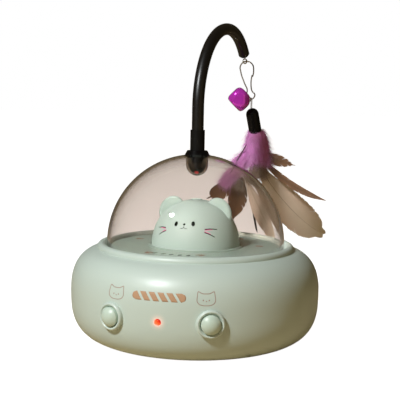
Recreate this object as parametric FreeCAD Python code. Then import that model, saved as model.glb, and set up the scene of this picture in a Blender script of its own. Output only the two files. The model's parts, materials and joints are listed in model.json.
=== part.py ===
import FreeCAD, Part
import functools
import math
import os

# Interactive cat toy: a round base with a turning clear dome, a bent wand and a feather lure.
# Millimetres and degrees. Origin at the floor on the dome's axis, +Z up, the cat's face to -Y.
# An azimuth is counted from -Y, anticlockwise as seen from above.

V = FreeCAD.Vector
O = V(0, 0, 0)
X = V(1, 0, 0)
Y = V(0, 1, 0)
Z = V(0, 0, 1)

# Base shells
BASE_R = 100.0
WIDEST_Z = 40.5
FOOT_PROUD = 1.2
BOTTOM_R = 57.8
BOTTOM_POWER = 2.89
TOP_R = 68.7
TOP_Z = 76.4
TOP_POWER = 2.53
SHELL_WALL = 2.4
SEAM_Z = 36.0
TONGUE_H = 2.0
TONGUE_GAP = 0.1
LIP_WIDTH = 6.2
LIP_Z = 79.7
LIP_SKIRT_Z = 70.0
LIP_SKIRT_WALL = 1.8

# Clear dome
DOME_R = 71.25
DOME_Z = 78.8
DOME_WALL = 2.0
DOME_FOOT = 12.6
GROOVE_OUT_GAP = 1.55
GROOVE_IN_GAP = 1.4
POCKET_WALL = 1.3
POCKET_GAP = 0.15

# Wand holder, laser mirror and window
HOLDER_R = 7.3
HOLDER_DEPTH = 8.5
HOLDER_FLANGE_R = 10.2
HOLDER_TOP_R = 8.0
HOLDER_TOP = 3.0
BEAM_HOLE_R = 1.5
MIRROR_T = 0.8
MIRROR_TILT = 20.0
WINDOW_R = 1.6
WINDOW_T = 1.7
WINDOW_ANGLE = 40.0
WINDOW_AZIMUTH = 12.0

# Wand
WAND_AZIMUTH = 171.4
PLUG_R = 5.0
PLUG_FIT = 0.05
PLUG_LENGTH = 8.5
STOP_GAP = 0.05
SLEEVE_R = 5.75
SLEEVE_H = 16.0
WAND_R = 4.7
WAND_BORE_R = 3.4
WAND_SOCKET = 14.0
WAND_STRAIGHT = 31.0
WAND_BENDS = ((68.0, 36.0), (58.7, 54.0), (45.0, 54.1))
TIP_PLUG = 7.0
TIP_NOSE = 1.6
TIP_NOSE_IN = 1.4
EYE_WIRE_R = 0.55
EYE_R = 1.9
EYE_STEM = 4.5
EYE_STEM_R = 0.5
EYE_STEM_IN = 5.0
EYE_AZIMUTH = 45.0

# Snap hook, outlined from the eye's lowest point: across, up
HOOK_WIRE_R = 0.55
HOOK_POINTS = ((7.9, -11.3), (8.6, -6.0), (7.2, -1.0), (3.6, 1.45), (-1.2, 1.15), (-4.1, -2.2),
               (-3.4, -8.0), (0.2, -17.0), (2.9, -23.0), (2.1, -27.6), (6.3, -30.7), (10.0, -27.9),
               (6.9, -22.4), (6.3, -18.6), (7.0, -9.8))
HOOK_LAP = 1.2
HOOK_RING = (6.3, -30.7)

# Jingle bell
BELL_R = 10.2
BELL_SAG = 0.3
BELL_WALL = 0.8
BELL_SLOT = 1.2
BELL_SLOT_DEPTH = 2.8
# Flats beaten into the bell: a direction across, away and up, and its distance from the centre
BELL_FLATS = (((-1, 0, -1), 7.1), ((-1, 0, 1), 8.2), ((1, 0, 1), 8.6), ((1, 0, -1), 9.7),
              ((-1, 0, 0), 9.7), ((1, 0, 0), 9.4), ((0, -1, 0), 8.4), ((0, 1, 0), 8.4),
              ((-1, -1, 0), 9.2), ((1, -1, 0), 9.2), ((-1, 1, 0), 9.2), ((1, 1, 0), 9.2))
BELL_OFFSET = (-5.8, -10.64)
BELL_SIDE = -0.9
PELLET_R = 2.2
PELLET_GAP = 0.1
LINK_R = 2.0
LINK_WIRE_R = 0.4
LINK_AT = 11.35

# Lure: thread, cap, down and feathers
THREAD_R = 0.3
THREAD_LOOP_R = 1.15
THREAD_SIDE = 0.9
THREAD_DROP = 7.6
THREAD_IN = 3.0
CAP_R = 5.6
CAP_LENGTH = 24.0
CAP_TILT = 11.6
VIEW_AZIMUTH = 15.2
FEATHER_T = 0.5
FEATHER_BOW = 160.0
DOWN_LOBES = (((6.0, -26.0), (3.5, -67.0), (6.5, 10.5, 11.5, 9.0, 3.0)),
              ((1.0, -48.0), (-20.0, -76.0), (5.0, 7.5, 5.5, 3.0, 1.2)))
# Each feather: name, root, middle, tip (across, up), half width, layer behind the lure's plane,
# and the side it bows to, 1 away from the dome or -1 towards it
FEATHERS = (
    ("feather_brown_left", (-3.0, -60.0), (-18.0, -76.0), (-36.5, -88.3), 7.5, 5.6, 1),
    ("feather_brown_inner", (-1.0, -62.0), (-7.0, -84.0), (-11.8, -108.6), 9.0, 4.2, 1),
    ("feather_beige_large", (8.0, -56.0), (38.0, -95.0), (73.5, -123.4), 13.5, 2.8, 1),
    ("feather_wisp", (2.0, -66.0), (8.5, -103.0), (12.4, -119.0), 1.1, 1.4, 1),
    ("feather_beige_mid", (1.0, -62.0), (14.0, -96.0), (31.2, -126.9), 8.0, 0.0, -1),
    ("feather_brown_narrow", (10.0, -50.0), (36.0, -75.0), (67.3, -85.5), 3.2, -1.4, -1),
    ("feather_brown_short", (10.0, -44.0), (24.0, -51.5), (40.1, -52.6), 4.8, -2.8, -1),
    ("feather_quill", (0.0, -36.0), (-7.0, -47.0), (-14.5, -60.5), 0.9, -4.2, -1),
)

# Deck and cat head
DECK_Z = 77.15
DECK_T = 2.0
DECK_HEM_T = 2.0
DECK_HEM_IN = 0.4
BEAD_R = 36.9
BEAD_WIRE_R = 1.3
HEAD_R = 35.5
HEAD_H = 37.0
HEAD_POWER = 2.1
HEAD_WALL = 2.0
EAR_X = 19.3
EAR_Y = -3.0
EAR_Z = 104.6
EAR_TALL = 12.2
EAR_WIDE = 10.2
EAR_SPLAY = 24.8
EAR_EDGE = 1.6
EAR_T = 3.8
EAR_DISH = 0.9
LENS_R = 3.4
LENS_T = 1.7
LENS_FLANGE_R = 5.0
LENS_FLANGE_T = 0.9
LENS_SEAT_GAP = 0.15
LENS_RIM_AT = 4.1
LENS_RIM_R = 0.5
LENS_RIM_SINK = 0.1
HEAD_BOSS_R = 3.0
HEAD_SCREW_R = 28.0

# Laser
LASER_R = 3.0
LASER_L = 14.0
LASER_TOP_GAP = 5.0
LASER_RECESS = 1.5
LASER_BORE_R = 1.0
LASER_BORE_DEPTH = 2.0
LASER_HOLDER_R = 5.2
LASER_FOOT_R = 12.0
LASER_FOOT_T = 2.0
LASER_BOSS_H = 6.0
LASER_BOSS_R = 3.0
LASER_SCREW_X = 8.0
WIRE_HOLE_R = 2.0

# Turntable ring and gear train
RING_TEETH = 100
RING_MODULE = 1.2
PINION_TEETH = 12
WHEEL_TEETH = 36
TRAIN_MODULE = 0.8
PRESSURE_ANGLE = 25.0
ADDENDUM = 0.8
DEDENDUM = 1.05
BACKLASH = 0.12
RING_GAP = 0.4
RING_GEAR_H = 5.4
RING_H = 9.0
RING_WALL = 2.5
FOOT_CLEAR = 0.25
RAIL_R = 65.8
RAIL_T = 1.2
RAIL_H = 2.4
RAIL_FIT = 0.1
GEAR_FACE = 3.0
GEAR_GAP = 1.0
GEAR_BORE_FIT = 0.03
DRIVE_PIN_R = 1.5
IDLER_PIN_R = 1.0
DRIVE_NECK_R = 3.4
TRAIN_TURN_1 = 215.0
TRAIN_TURN_2 = 300.0

# Chassis, gearbox and motor
CHASSIS_R = 80.5
CHASSIS_T = 2.5
CHASSIS_POST_AT = 77.0
CHASSIS_POST_R = 4.0
DECK_POST_AT = 46.0
DECK_POST_R = 3.5
PLATE_T = 2.0
PLATE_BOX = (-40.0, 16.5, 26.0, 60.0)
PLATE_POSTS = ((20.0, 39.5), (-34.5, 54.5), (10.0, 22.0), (-33.0, 23.0))
PLATE_POST_R = 3.0
MOTOR_R = 10.0
MOTOR_FLAT = 15.4
MOTOR_L = 25.0
MOTOR_BOSS_R = 3.0
MOTOR_SHAFT_R = 1.0
MOTOR_BORE_FIT = 0.05
MOTOR_SCREW_AT = 8.0
MOTOR_GAP = 1.2

# Battery bay
CELL_D = 14.5
CELL_L = 50.5
CELL_NUB_R = 2.75
CELL_NUB = 1.0
CELL_PITCH = 15.0
CELL_GAP = 0.5
CELL_COUNT = 3
SPRING_L = 3.5
SPRING_R = 4.0
CONTACT_T = 0.4
CONTACT_SIZE = 11.0
BAY_WALL = 1.6
DOOR_T = 2.2
DOOR_LEDGE = 2.0
DOOR_GAP = 0.25
DOOR_TAB = 8.0
DOOR_TAB_W = 10.0
DOOR_BOSS_R = 3.5

# Buttons, switches, light and boards
BUTTON_AZIMUTH = 21.9
BUTTON_Z = 36.0
BUTTON_R = 7.2
BUTTON_GAP = 0.2
BUTTON_PROUD = 7.0
BUTTON_DOME = 3.4
BUTTON_FLANGE_R = 8.3
BUTTON_FLANGE_T = 1.5
BUTTON_TRAVEL = 1.0
COLLAR_R = 10.5
COLLAR_WALL = 1.0
COLLAR_PROUD = 3.0
COLLAR_SEAT = 1.2
COLLAR_SLEEVE = 8.8
STEM_R = 1.75
STEM_L = 3.6
PLUNGER_L = 2.2
PLUNGER_PROUD = 1.5
PLUNGER_ROOM = 0.1
SWITCH_SIZE = 6.2
SWITCH_H = 4.2
BOARD_T = 1.6
BOARD_SLOT = 4.0
SWITCH_BOARD_W = 16.0
SWITCH_BOARD_H = 18.0
LED_R = 2.5
LED_GAP = 0.1
LED_FLANGE_R = 2.9
LED_L = 9.6
LED_LEAD_R = 0.3
LED_LEAD_X = 1.27
MAIN_BOARD_AT = 84.4
MAIN_BOARD_W = 42.0
MAIN_BOARD_H = 22.0
MAIN_BOARD_Z = 24.0
CHIP = (10.0, 1.6, 7.0)

# Feet and screws
FOOT_R = 6.0
FOOT_SINK = 0.8
FOOT_AT = 36.0
CASE_SCREW_AT = 87.0
CASE_SCREW_AZIMUTH = 42.0
CASE_RECESS_R = 3.5
CASE_TUBE_R = 5.0
CASE_SHELF_Z = 30.0
CASE_BOSS_R = 4.0
BIG_SCREW = (2.8, 2.0, 1.5, 14.0)
SMALL_SCREW = (2.3, 1.3, 1.2, 7.0)
MOTOR_SCREW = (1.6, 0.9, 0.8, 4.0)
SCREW_CLEAR = 0.2

# Places worked out from the sizes above
apex_z = DOME_Z + DOME_R
holder_z = apex_z - HOLDER_DEPTH
pocket_r = HOLDER_R + POCKET_GAP
bore_r = PLUG_R + PLUG_FIT
holder_top_z = apex_z + HOLDER_TOP
groove_out_r = DOME_R + GROOVE_OUT_GAP
deck_r = DOME_R - DOME_WALL - GROOVE_IN_GAP
deck_under_z = DECK_Z - DECK_T
lip_r = groove_out_r + LIP_WIDTH
bay_z = FOOT_PROUD + DOOR_T
cell_z = bay_z + CELL_GAP + CELL_D / 2
bay_top_z = cell_z + CELL_D / 2 + CELL_GAP
bay_x = (CELL_L + SPRING_L) / 2 + CONTACT_T
bay_y = CELL_PITCH * (CELL_COUNT - 1) / 2 + CELL_D / 2 + CELL_GAP
motor_z = bay_top_z + BAY_WALL + MOTOR_GAP
plate_z = motor_z + MOTOR_L
layer_a_z = plate_z + PLATE_T + GEAR_GAP
layer_b_z = layer_a_z + GEAR_FACE + GEAR_GAP
chassis_z = layer_b_z + GEAR_FACE + GEAR_GAP
chassis_top_z = chassis_z + CHASSIS_T
ring_z = chassis_top_z + RING_GAP
ring_top_z = ring_z + RING_H
ring_pitch_r = RING_TEETH * RING_MODULE / 2
drive_pitch_r = PINION_TEETH * RING_MODULE / 2
train_step = (PINION_TEETH + WHEEL_TEETH) * TRAIN_MODULE / 2
drive_at = V(0, ring_pitch_r - drive_pitch_r, 0)
channel_in_r = DOME_R - DOME_WALL - FOOT_CLEAR
channel_out_r = DOME_R + FOOT_CLEAR
cap_axis = V(math.sin(math.radians(CAP_TILT)), 0, -math.cos(math.radians(CAP_TILT)))


def turned_by(angle, distance):
    """The offset of a given length in a direction counted from +X."""
    return V(distance * math.cos(math.radians(angle)), distance * math.sin(math.radians(angle)), 0)


idler_at = drive_at + turned_by(TRAIN_TURN_1, train_step)
motor_at = idler_at + turned_by(TRAIN_TURN_2, train_step)


def azimuth_dir(azimuth):
    """The outward direction at an azimuth counted from -Y."""
    return V(math.sin(math.radians(azimuth)), -math.cos(math.radians(azimuth)), 0)


def line(a, b):
    """A straight edge of a turned profile, from (radius, height) pairs."""
    return Part.LineSegment(V(a[0], 0, a[1]), V(b[0], 0, b[1])).toShape()


def arc(a, middle, b):
    """An arc of a turned profile through three (radius, height) pairs."""
    return Part.Arc(V(a[0], 0, a[1]), V(middle[0], 0, middle[1]), V(b[0], 0, b[1])).toShape()


def crown_arc(rim_r, rim_z, top_z):
    """A spherical crown's arc from its rim to the axis."""
    rise = top_z - rim_z
    radius = (rim_r ** 2 + rise ** 2) / (2 * rise)
    middle_r = rim_r / 2
    middle_z = top_z - radius + math.sqrt(radius ** 2 - middle_r ** 2)
    return arc((rim_r, rim_z), (middle_r, middle_z), (0, top_z))


def round_arc(centre, radius, start, end):
    """An arc of a turned profile, by its centre, radius and two angles from +radius."""
    angles = (start, (start + end) / 2, end)
    points = [(centre[0] + radius * math.cos(math.radians(a)),
               centre[1] + radius * math.sin(math.radians(a))) for a in angles]
    return arc(*points)


def turned(edges):
    """The solid that a closed profile sweeps round Z."""
    solid = Part.Face(Part.Wire(Part.__sortEdges__(edges))).revolve(O, Z, 360)
    if solid.Volume < 0:
        solid.reverse()
    return solid


def turned_polygon(points):
    """The solid that a straight-sided profile sweeps round Z."""
    closed = list(points) + [points[0]]
    return turned([line(a, b) for a, b in zip(closed, closed[1:])])


def disc(radius, z0, z1, at=O):
    return Part.makeCylinder(radius, z1 - z0, V(at.x, at.y, z0))


def tube(outer, inner, z0, z1, at=O):
    return disc(outer, z0, z1, at).cut(disc(inner, z0, z1, at))


def box(x0, y0, z0, x1, y1, z1):
    return Part.makeBox(x1 - x0, y1 - y0, z1 - z0, V(x0, y0, z0))


def moved(shape, offset):
    copy = shape.copy()
    copy.translate(offset)
    return copy


def spun(shape, azimuth):
    """A copy turned about Z from the front to an azimuth."""
    copy = shape.copy()
    copy.rotate(O, Z, azimuth)
    return copy


def radial(shape, azimuth, z):
    """A shape made along +Z laid along the outward direction at an azimuth and height."""
    copy = shape.copy()
    copy.rotate(O, X, 90)
    copy.translate(V(0, 0, z))
    return spun(copy, azimuth)


def group(shapes):
    return Part.makeCompound(shapes)


def joined(first, *others):
    return first.fuse(list(others)).removeSplitter()


def superellipse(corner, size, power, start, end, inset=0.0, count=15):
    """A quarter of a rounded section, as a curve between two angles, drawn in by an inset."""
    points = []
    for i in range(count):
        a = math.radians(start + (end - start) * i / (count - 1))
        c = max(math.cos(a), 0.0)
        s = max(math.sin(a), 0.0)
        r = corner[0] + size[0] * c ** (2 / power)
        z = corner[1] + size[1] * s ** (2 / power)
        slope_r = c ** (2 - 2 / power) / abs(size[0])
        slope_z = s ** (2 - 2 / power) / abs(size[1])
        length = math.hypot(slope_r, slope_z)
        side = 1 if size[1] > 0 else -1
        points.append(V(r - inset * slope_r / length, 0, z - side * inset * slope_z / length))
    curve = Part.BSplineCurve()
    curve.interpolate(points)
    return curve.toShape(), points[0], points[-1]


@functools.cache
def pebble(inset):
    """The base's closed outside, or its inside when drawn in by the wall."""
    side_cos = ((lip_r - TOP_R) / (BASE_R - TOP_R)) ** (TOP_POWER / 2)
    lip_angle = math.degrees(math.acos(side_cos))
    lower, low_start, low_end = superellipse(
        (BOTTOM_R, WIDEST_Z), (BASE_R - BOTTOM_R, FOOT_PROUD - WIDEST_Z), BOTTOM_POWER, 0, 90, inset)
    upper, up_start, up_end = superellipse(
        (TOP_R, WIDEST_Z), (BASE_R - TOP_R, TOP_Z - WIDEST_Z), TOP_POWER, 0, lip_angle, inset)
    bottom = (0, low_end.z)
    top = (0, up_end.z)
    edges = [line(bottom, (low_end.x, low_end.z)), lower, upper,
             line((up_end.x, up_end.z), top), line(top, bottom)]
    return turned(edges)


def lip():
    """The raised rounded ring round the groove, with the skirt inside it."""
    inner = groove_out_r
    crown = (inner + LIP_WIDTH * 0.52, LIP_Z)
    shoulder_z = TOP_Z - 0.9
    low_z = shoulder_z - SHELL_WALL
    corner = (inner, LIP_Z - 2.4)
    inside_bulge = (inner + 0.75, LIP_Z - 0.75)
    outside_bulge = (lip_r - 0.9, LIP_Z - 1.15)
    edges = [line((inner, LIP_SKIRT_Z), corner), arc(corner, inside_bulge, crown),
             arc(crown, outside_bulge, (lip_r, shoulder_z)), line((lip_r, shoulder_z), (lip_r, low_z)),
             line((lip_r, low_z), (inner + LIP_SKIRT_WALL, low_z)),
             line((inner + LIP_SKIRT_WALL, low_z), (inner + LIP_SKIRT_WALL, LIP_SKIRT_Z)),
             line((inner + LIP_SKIRT_WALL, LIP_SKIRT_Z), (inner, LIP_SKIRT_Z))]
    return turned(edges)


def screw(spec, z, at, up):
    """A pan-head screw whose head's seat is at z, pointing up or down."""
    head_r, head_h, shank_r, length = spec
    if up:
        return joined(disc(head_r, z - head_h, z, at), disc(shank_r, z, z + length, at))
    return joined(disc(head_r, z, z + head_h, at), disc(shank_r, z - length, z, at))


def case_screw_places():
    return [azimuth_dir(a) * CASE_SCREW_AT for a in
            (CASE_SCREW_AZIMUTH, -CASE_SCREW_AZIMUTH, 180 - CASE_SCREW_AZIMUTH, 180 + CASE_SCREW_AZIMUTH)]


def quarter_places(radius, start):
    return [azimuth_dir(start + 90 * i) * radius for i in range(4)]


def head_screw_places():
    return [azimuth_dir(120 * i) * HEAD_SCREW_R for i in range(3)]


def laser_screw_places():
    return [V(LASER_SCREW_X, 0, 0), V(-LASER_SCREW_X, 0, 0)]


def plate_places():
    return [V(x, y, 0) for x, y in PLATE_POSTS]


# Front openings, shared by both shells
button_front = BASE_R + BUTTON_PROUD
collar_seat = BASE_R - COLLAR_SEAT
collar_bore_r = BUTTON_R + BUTTON_GAP
sleeve_r = collar_bore_r + COLLAR_WALL
sleeve_back = collar_seat - COLLAR_SLEEVE
flange_front = sleeve_back - BUTTON_GAP
flange_back = flange_front - BUTTON_FLANGE_T
stem_back = flange_back - STEM_L
board_front = stem_back - PLUNGER_PROUD - SWITCH_H
button_azimuths = (("left", -BUTTON_AZIMUTH), ("right", BUTTON_AZIMUTH))


def front_cutters():
    """What the buttons' collars and the light take out of the shells."""
    outside = BASE_R + COLLAR_PROUD
    cutter = joined(disc(sleeve_r, sleeve_back, outside), disc(COLLAR_R, collar_seat, outside))
    cutters = [radial(cutter, azimuth, BUTTON_Z) for name, azimuth in button_azimuths]
    light = disc(LED_R + LED_GAP, MAIN_BOARD_AT + BOARD_T, outside)
    cutters.append(radial(light, 0, BUTTON_Z))
    return cutters


def board_rack(width, azimuth, back, bottom_z):
    """Two slotted posts that stand on the floor and grip a board's lower corners."""
    posts = []
    for side in (-1, 1):
        x = side * (width / 2 - 3)
        post = box(x - 3, -back - BOARD_T - 2, FOOT_PROUD, x + 3, -back + 2, bottom_z + BOARD_SLOT)
        slot = box(x - 3, -back - BOARD_T, bottom_z, x + 3, -back, bottom_z + BOARD_SLOT)
        posts.append(spun(post.cut(slot), azimuth))
    return posts


def lower_shell():
    outside = pebble(0)
    inside = pebble(SHELL_WALL)
    below = box(-BASE_R - 1, -BASE_R - 1, 0, BASE_R + 1, BASE_R + 1, SEAM_Z)
    tongue_zone = box(-BASE_R - 1, -BASE_R - 1, SEAM_Z, BASE_R + 1, BASE_R + 1, SEAM_Z + TONGUE_H)
    wall = outside.cut(inside).common(below)
    tongue = pebble(SHELL_WALL / 2 + TONGUE_GAP / 2).cut(inside).common(tongue_zone)
    frame_x = bay_x + DOOR_LEDGE + BAY_WALL
    frame_y = bay_y + DOOR_LEDGE + BAY_WALL
    frame_top = bay_z + BAY_WALL
    tab_x = bay_x + DOOR_LEDGE + DOOR_TAB
    solids = [wall, tongue]
    rooted = []
    solids.append(box(-frame_x, -frame_y, FOOT_PROUD, frame_x, frame_y, frame_top))
    solids.append(box(0, -DOOR_TAB_W / 2 - BAY_WALL, FOOT_PROUD, tab_x + BAY_WALL,
                      DOOR_TAB_W / 2 + BAY_WALL, frame_top))
    solids.append(box(-bay_x - BAY_WALL, -bay_y - BAY_WALL, FOOT_PROUD,
                      bay_x + BAY_WALL, bay_y + BAY_WALL, bay_top_z + BAY_WALL))
    door_boss = disc(DOOR_BOSS_R, FOOT_PROUD, bay_z + SMALL_SCREW[3] + 2, V(tab_x - DOOR_TAB / 2, 0, 0))
    solids.append(door_boss)
    for place in case_screw_places():
        rooted.append(disc(CASE_TUBE_R, 0, SEAM_Z, place))
    for place in quarter_places(CHASSIS_POST_AT, 0):
        rooted.append(disc(CHASSIS_POST_R, 0, chassis_z, place))
    rooted += board_rack(MAIN_BOARD_W, 0, MAIN_BOARD_AT, MAIN_BOARD_Z)
    for name, azimuth in button_azimuths:
        bottom = BUTTON_Z - SWITCH_BOARD_H / 2
        rooted += board_rack(SWITCH_BOARD_W, azimuth, board_front - BOARD_T, bottom)
    solids += group(rooted).common(outside).Solids
    shell = solids[0].fuse(solids[1:])
    cutters = [box(-bay_x - DOOR_LEDGE, -bay_y - DOOR_LEDGE, 0, bay_x + DOOR_LEDGE, bay_y + DOOR_LEDGE,
                   bay_z),
               box(0, -DOOR_TAB_W / 2, 0, tab_x, DOOR_TAB_W / 2, bay_z),
               box(-bay_x, -bay_y, 0, bay_x, bay_y, bay_top_z),
               disc(SMALL_SCREW[2], 0, bay_z + SMALL_SCREW[3], V(tab_x - DOOR_TAB / 2, 0, 0))]
    for place in case_screw_places():
        cutters.append(disc(CASE_RECESS_R, 0, CASE_SHELF_Z, place))
        cutters.append(disc(BIG_SCREW[2] + SCREW_CLEAR, 0, SEAM_Z, place))
    for place in quarter_places(CHASSIS_POST_AT, 0):
        cutters.append(disc(BIG_SCREW[2], chassis_top_z - BIG_SCREW[3], chassis_z, place))
    for place in quarter_places(FOOT_AT * math.sqrt(2), 45):
        cutters.append(disc(FOOT_R, 0, FOOT_PROUD + FOOT_SINK, place))
    return shell.cut(cutters + front_cutters()).removeSplitter()


def upper_shell():
    outside = pebble(0)
    inside = pebble(SHELL_WALL)
    above = box(-BASE_R - 1, -BASE_R - 1, SEAM_Z, BASE_R + 1, BASE_R + 1, TOP_Z)
    tongue_zone = box(-BASE_R - 1, -BASE_R - 1, SEAM_Z, BASE_R + 1, BASE_R + 1,
                      SEAM_Z + TONGUE_H + TONGUE_GAP)
    wall = outside.cut(inside).common(above)
    recess = pebble(SHELL_WALL / 2 - TONGUE_GAP / 2).common(tongue_zone)
    hole = disc(groove_out_r, LIP_SKIRT_Z - 1, LIP_Z + 1)
    bosses = []
    for place in case_screw_places():
        boss = disc(CASE_BOSS_R, SEAM_Z, TOP_Z, place).common(outside)
        bosses.append(boss.cut(disc(BIG_SCREW[2], SEAM_Z, CASE_SHELF_Z + BIG_SCREW[3] + 1, place)))
    shell = wall.cut([recess]).cut([hole]).fuse([lip()] + bosses)
    return shell.cut(front_cutters()).removeSplitter()


def deck():
    plate = disc(deck_r, deck_under_z, DECK_Z)
    hem_r = deck_r - DECK_HEM_IN
    hem = tube(hem_r, hem_r - DECK_HEM_T, ring_top_z + RING_GAP, deck_under_z)
    bead = Part.makeTorus(BEAD_R, BEAD_WIRE_R, V(0, 0, DECK_Z), Z)
    bead = bead.common(disc(BEAD_R * 2, DECK_Z - DECK_T / 2, DECK_Z + BEAD_WIRE_R * 2))
    parts = [plate, hem, bead]
    cutters = [disc(WIRE_HOLE_R, deck_under_z, DECK_Z)]
    for place in quarter_places(DECK_POST_AT, 45):
        parts.append(disc(DECK_POST_R, chassis_top_z, deck_under_z, place))
        cutters.append(disc(SMALL_SCREW[2], chassis_top_z, chassis_z + SMALL_SCREW[3] + 1, place))
    pin_boss_z = ring_z + RING_GEAR_H + RING_GAP
    parts.append(disc(DRIVE_PIN_R * 2, pin_boss_z, deck_under_z, drive_at))
    cutters.append(disc(DRIVE_PIN_R, pin_boss_z, pin_boss_z + CHASSIS_T * 2, drive_at))
    for place in head_screw_places() + laser_screw_places():
        cutters.append(disc(SMALL_SCREW[2] + SCREW_CLEAR, deck_under_z, DECK_Z, place))
    return joined(*parts).cut(cutters)


def head_solid(inset):
    curve, start, end = superellipse((0, DECK_Z), (HEAD_R, HEAD_H), HEAD_POWER, 0, 90, inset)
    edges = [curve, line((0, end.z), (0, DECK_Z)), line((0, DECK_Z), (start.x, DECK_Z))]
    return turned(edges)


def ear(side):
    """A thin oval plate facing the front, its foot splayed outwards and its face dished."""
    plate = Part.Face(Part.Wire(Part.Ellipse(O, EAR_TALL, EAR_WIDE).toShape())).extrude(Z * EAR_T)
    rims = [edge for edge in plate.Edges if abs(edge.BoundBox.ZLength) < 1e-3]
    plate = plate.makeFillet(EAR_EDGE, rims)
    dish_r = EAR_WIDE * EAR_WIDE / EAR_DISH / 4
    plate = plate.cut(Part.makeSphere(dish_r, V(0, 0, EAR_T - EAR_DISH + dish_r)))
    plate.rotate(O, Z, 90 + side * EAR_SPLAY)
    plate.rotate(O, X, 90)
    return moved(plate, V(side * EAR_X, EAR_Y + EAR_T / 2, EAR_Z))


def cat_head():
    outside = head_solid(0)
    inside = head_solid(HEAD_WALL)
    crown_z = DECK_Z + HEAD_H
    rim = Part.makeTorus(LENS_RIM_AT, LENS_RIM_R, V(0, 0, crown_z - LENS_RIM_SINK), Z)
    shell = joined(outside, ear(-1), ear(1), rim).cut(inside)
    bosses = []
    for place in head_screw_places():
        boss = disc(HEAD_BOSS_R, DECK_Z, crown_z, place).common(outside)
        bosses.append(boss.cut(disc(SMALL_SCREW[2], DECK_Z, deck_under_z + SMALL_SCREW[3] + 1, place)))
    shell = joined(shell, *bosses)
    return shell.cut([disc(LENS_R, DECK_Z + HEAD_H / 2, crown_z + 2)])


def crown_lens():
    crown_z = DECK_Z + HEAD_H
    seat_z = crown_z - HEAD_WALL - LENS_SEAT_GAP
    flange = tube(LENS_FLANGE_R, LENS_R, seat_z - LENS_FLANGE_T, seat_z)
    flange = flange.cut(head_ring(seat_z))
    return joined(disc(LENS_R, seat_z - LENS_FLANGE_T, crown_z + LENS_T - HEAD_WALL), flange)


def head_ring(z):
    """The head's wall, kept clear of the lens flange."""
    return head_solid(0).cut(head_solid(HEAD_WALL)).common(disc(HEAD_R, z - 5, z + 5))


def laser_top_z():
    return DECK_Z + HEAD_H - HEAD_WALL - LASER_TOP_GAP


def laser_holder():
    top = laser_top_z()
    parts = [disc(LASER_FOOT_R, DECK_Z, DECK_Z + LASER_FOOT_T), disc(LASER_HOLDER_R, DECK_Z, top)]
    cutters = [disc(WIRE_HOLE_R, DECK_Z, top), disc(LASER_R, top - LASER_L - LASER_RECESS, top)]
    for place in laser_screw_places():
        parts.append(disc(LASER_BOSS_R, DECK_Z, DECK_Z + LASER_BOSS_H, place))
        cutters.append(disc(SMALL_SCREW[2], DECK_Z, deck_under_z + SMALL_SCREW[3], place))
    return joined(*parts).cut(cutters)


def laser_module():
    front = laser_top_z() - LASER_RECESS
    body = disc(LASER_R, front - LASER_L, front)
    return body.cut(disc(LASER_BORE_R, front - LASER_BORE_DEPTH, front))


def clear_dome():
    """The dome, its foot below the groove and the pocket at its top, in one turned profile."""
    inner_r = DOME_R - DOME_WALL
    back_r = pocket_r + POCKET_WALL
    foot_z = DOME_Z - DOME_FOOT
    rim_z = DOME_Z + math.sqrt(DOME_R ** 2 - pocket_r ** 2)
    root_z = DOME_Z + math.sqrt(inner_r ** 2 - back_r ** 2)
    rim_angle = math.degrees(math.acos(pocket_r / DOME_R))
    root_angle = math.degrees(math.acos(back_r / inner_r))
    edges = [line((inner_r, foot_z), (DOME_R, foot_z)), line((DOME_R, foot_z), (DOME_R, DOME_Z)),
             round_arc((0, DOME_Z), DOME_R, 0, rim_angle),
             line((pocket_r, rim_z), (pocket_r, holder_z)),
             round_arc((0, holder_z), pocket_r, 0, -90),
             line((0, holder_z - pocket_r), (0, holder_z - back_r)),
             round_arc((0, holder_z), back_r, -90, 0), line((back_r, holder_z), (back_r, root_z)),
             round_arc((0, DOME_Z), inner_r, root_angle, 0), line((inner_r, DOME_Z), (inner_r, foot_z))]
    return turned(edges)


def window_axis():
    side = azimuth_dir(WINDOW_AZIMUTH) * math.sin(math.radians(WINDOW_ANGLE))
    return side + V(0, 0, -math.cos(math.radians(WINDOW_ANGLE)))


def holder_bore():
    """The wand's socket with the mirror's round chamber under it."""
    centre = V(0, 0, holder_z)
    return joined(disc(bore_r, holder_z, holder_top_z), Part.makeSphere(bore_r, centre))


def wand_holder():
    edges = [line((0, holder_z - HOLDER_R), (0, holder_top_z)),
             line((0, holder_top_z), (HOLDER_TOP_R, holder_top_z)),
             line((HOLDER_TOP_R, holder_top_z), (HOLDER_FLANGE_R, holder_top_z - HOLDER_TOP - 1)),
             line((HOLDER_FLANGE_R, holder_top_z - HOLDER_TOP - 1), (HOLDER_R, holder_top_z - HOLDER_TOP - 1)),
             line((HOLDER_R, holder_top_z - HOLDER_TOP - 1), (HOLDER_R, holder_z)),
             round_arc((0, holder_z), HOLDER_R, 0, -90)]
    body = turned(edges)
    flange_void = Part.makeSphere(DOME_R, V(0, 0, DOME_Z)).cut(disc(HOLDER_R, DOME_Z, holder_top_z))
    centre = V(0, 0, holder_z)
    beam = disc(BEAM_HOLE_R, holder_z - HOLDER_R, holder_z)
    window = Part.makeCylinder(WINDOW_R, HOLDER_R, centre, window_axis())
    return body.cut([flange_void, holder_bore(), beam, window])


def laser_mirror():
    """The tilted plate that throws the rising beam out through the window."""
    plate = Part.makeCylinder(PLUG_R * 1.3, MIRROR_T, V(0, 0, 0), Z)
    plate.rotate(O, azimuth_dir(WINDOW_AZIMUTH + 90), MIRROR_TILT)
    return moved(plate, V(0, 0, holder_z)).common(holder_bore())


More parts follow.
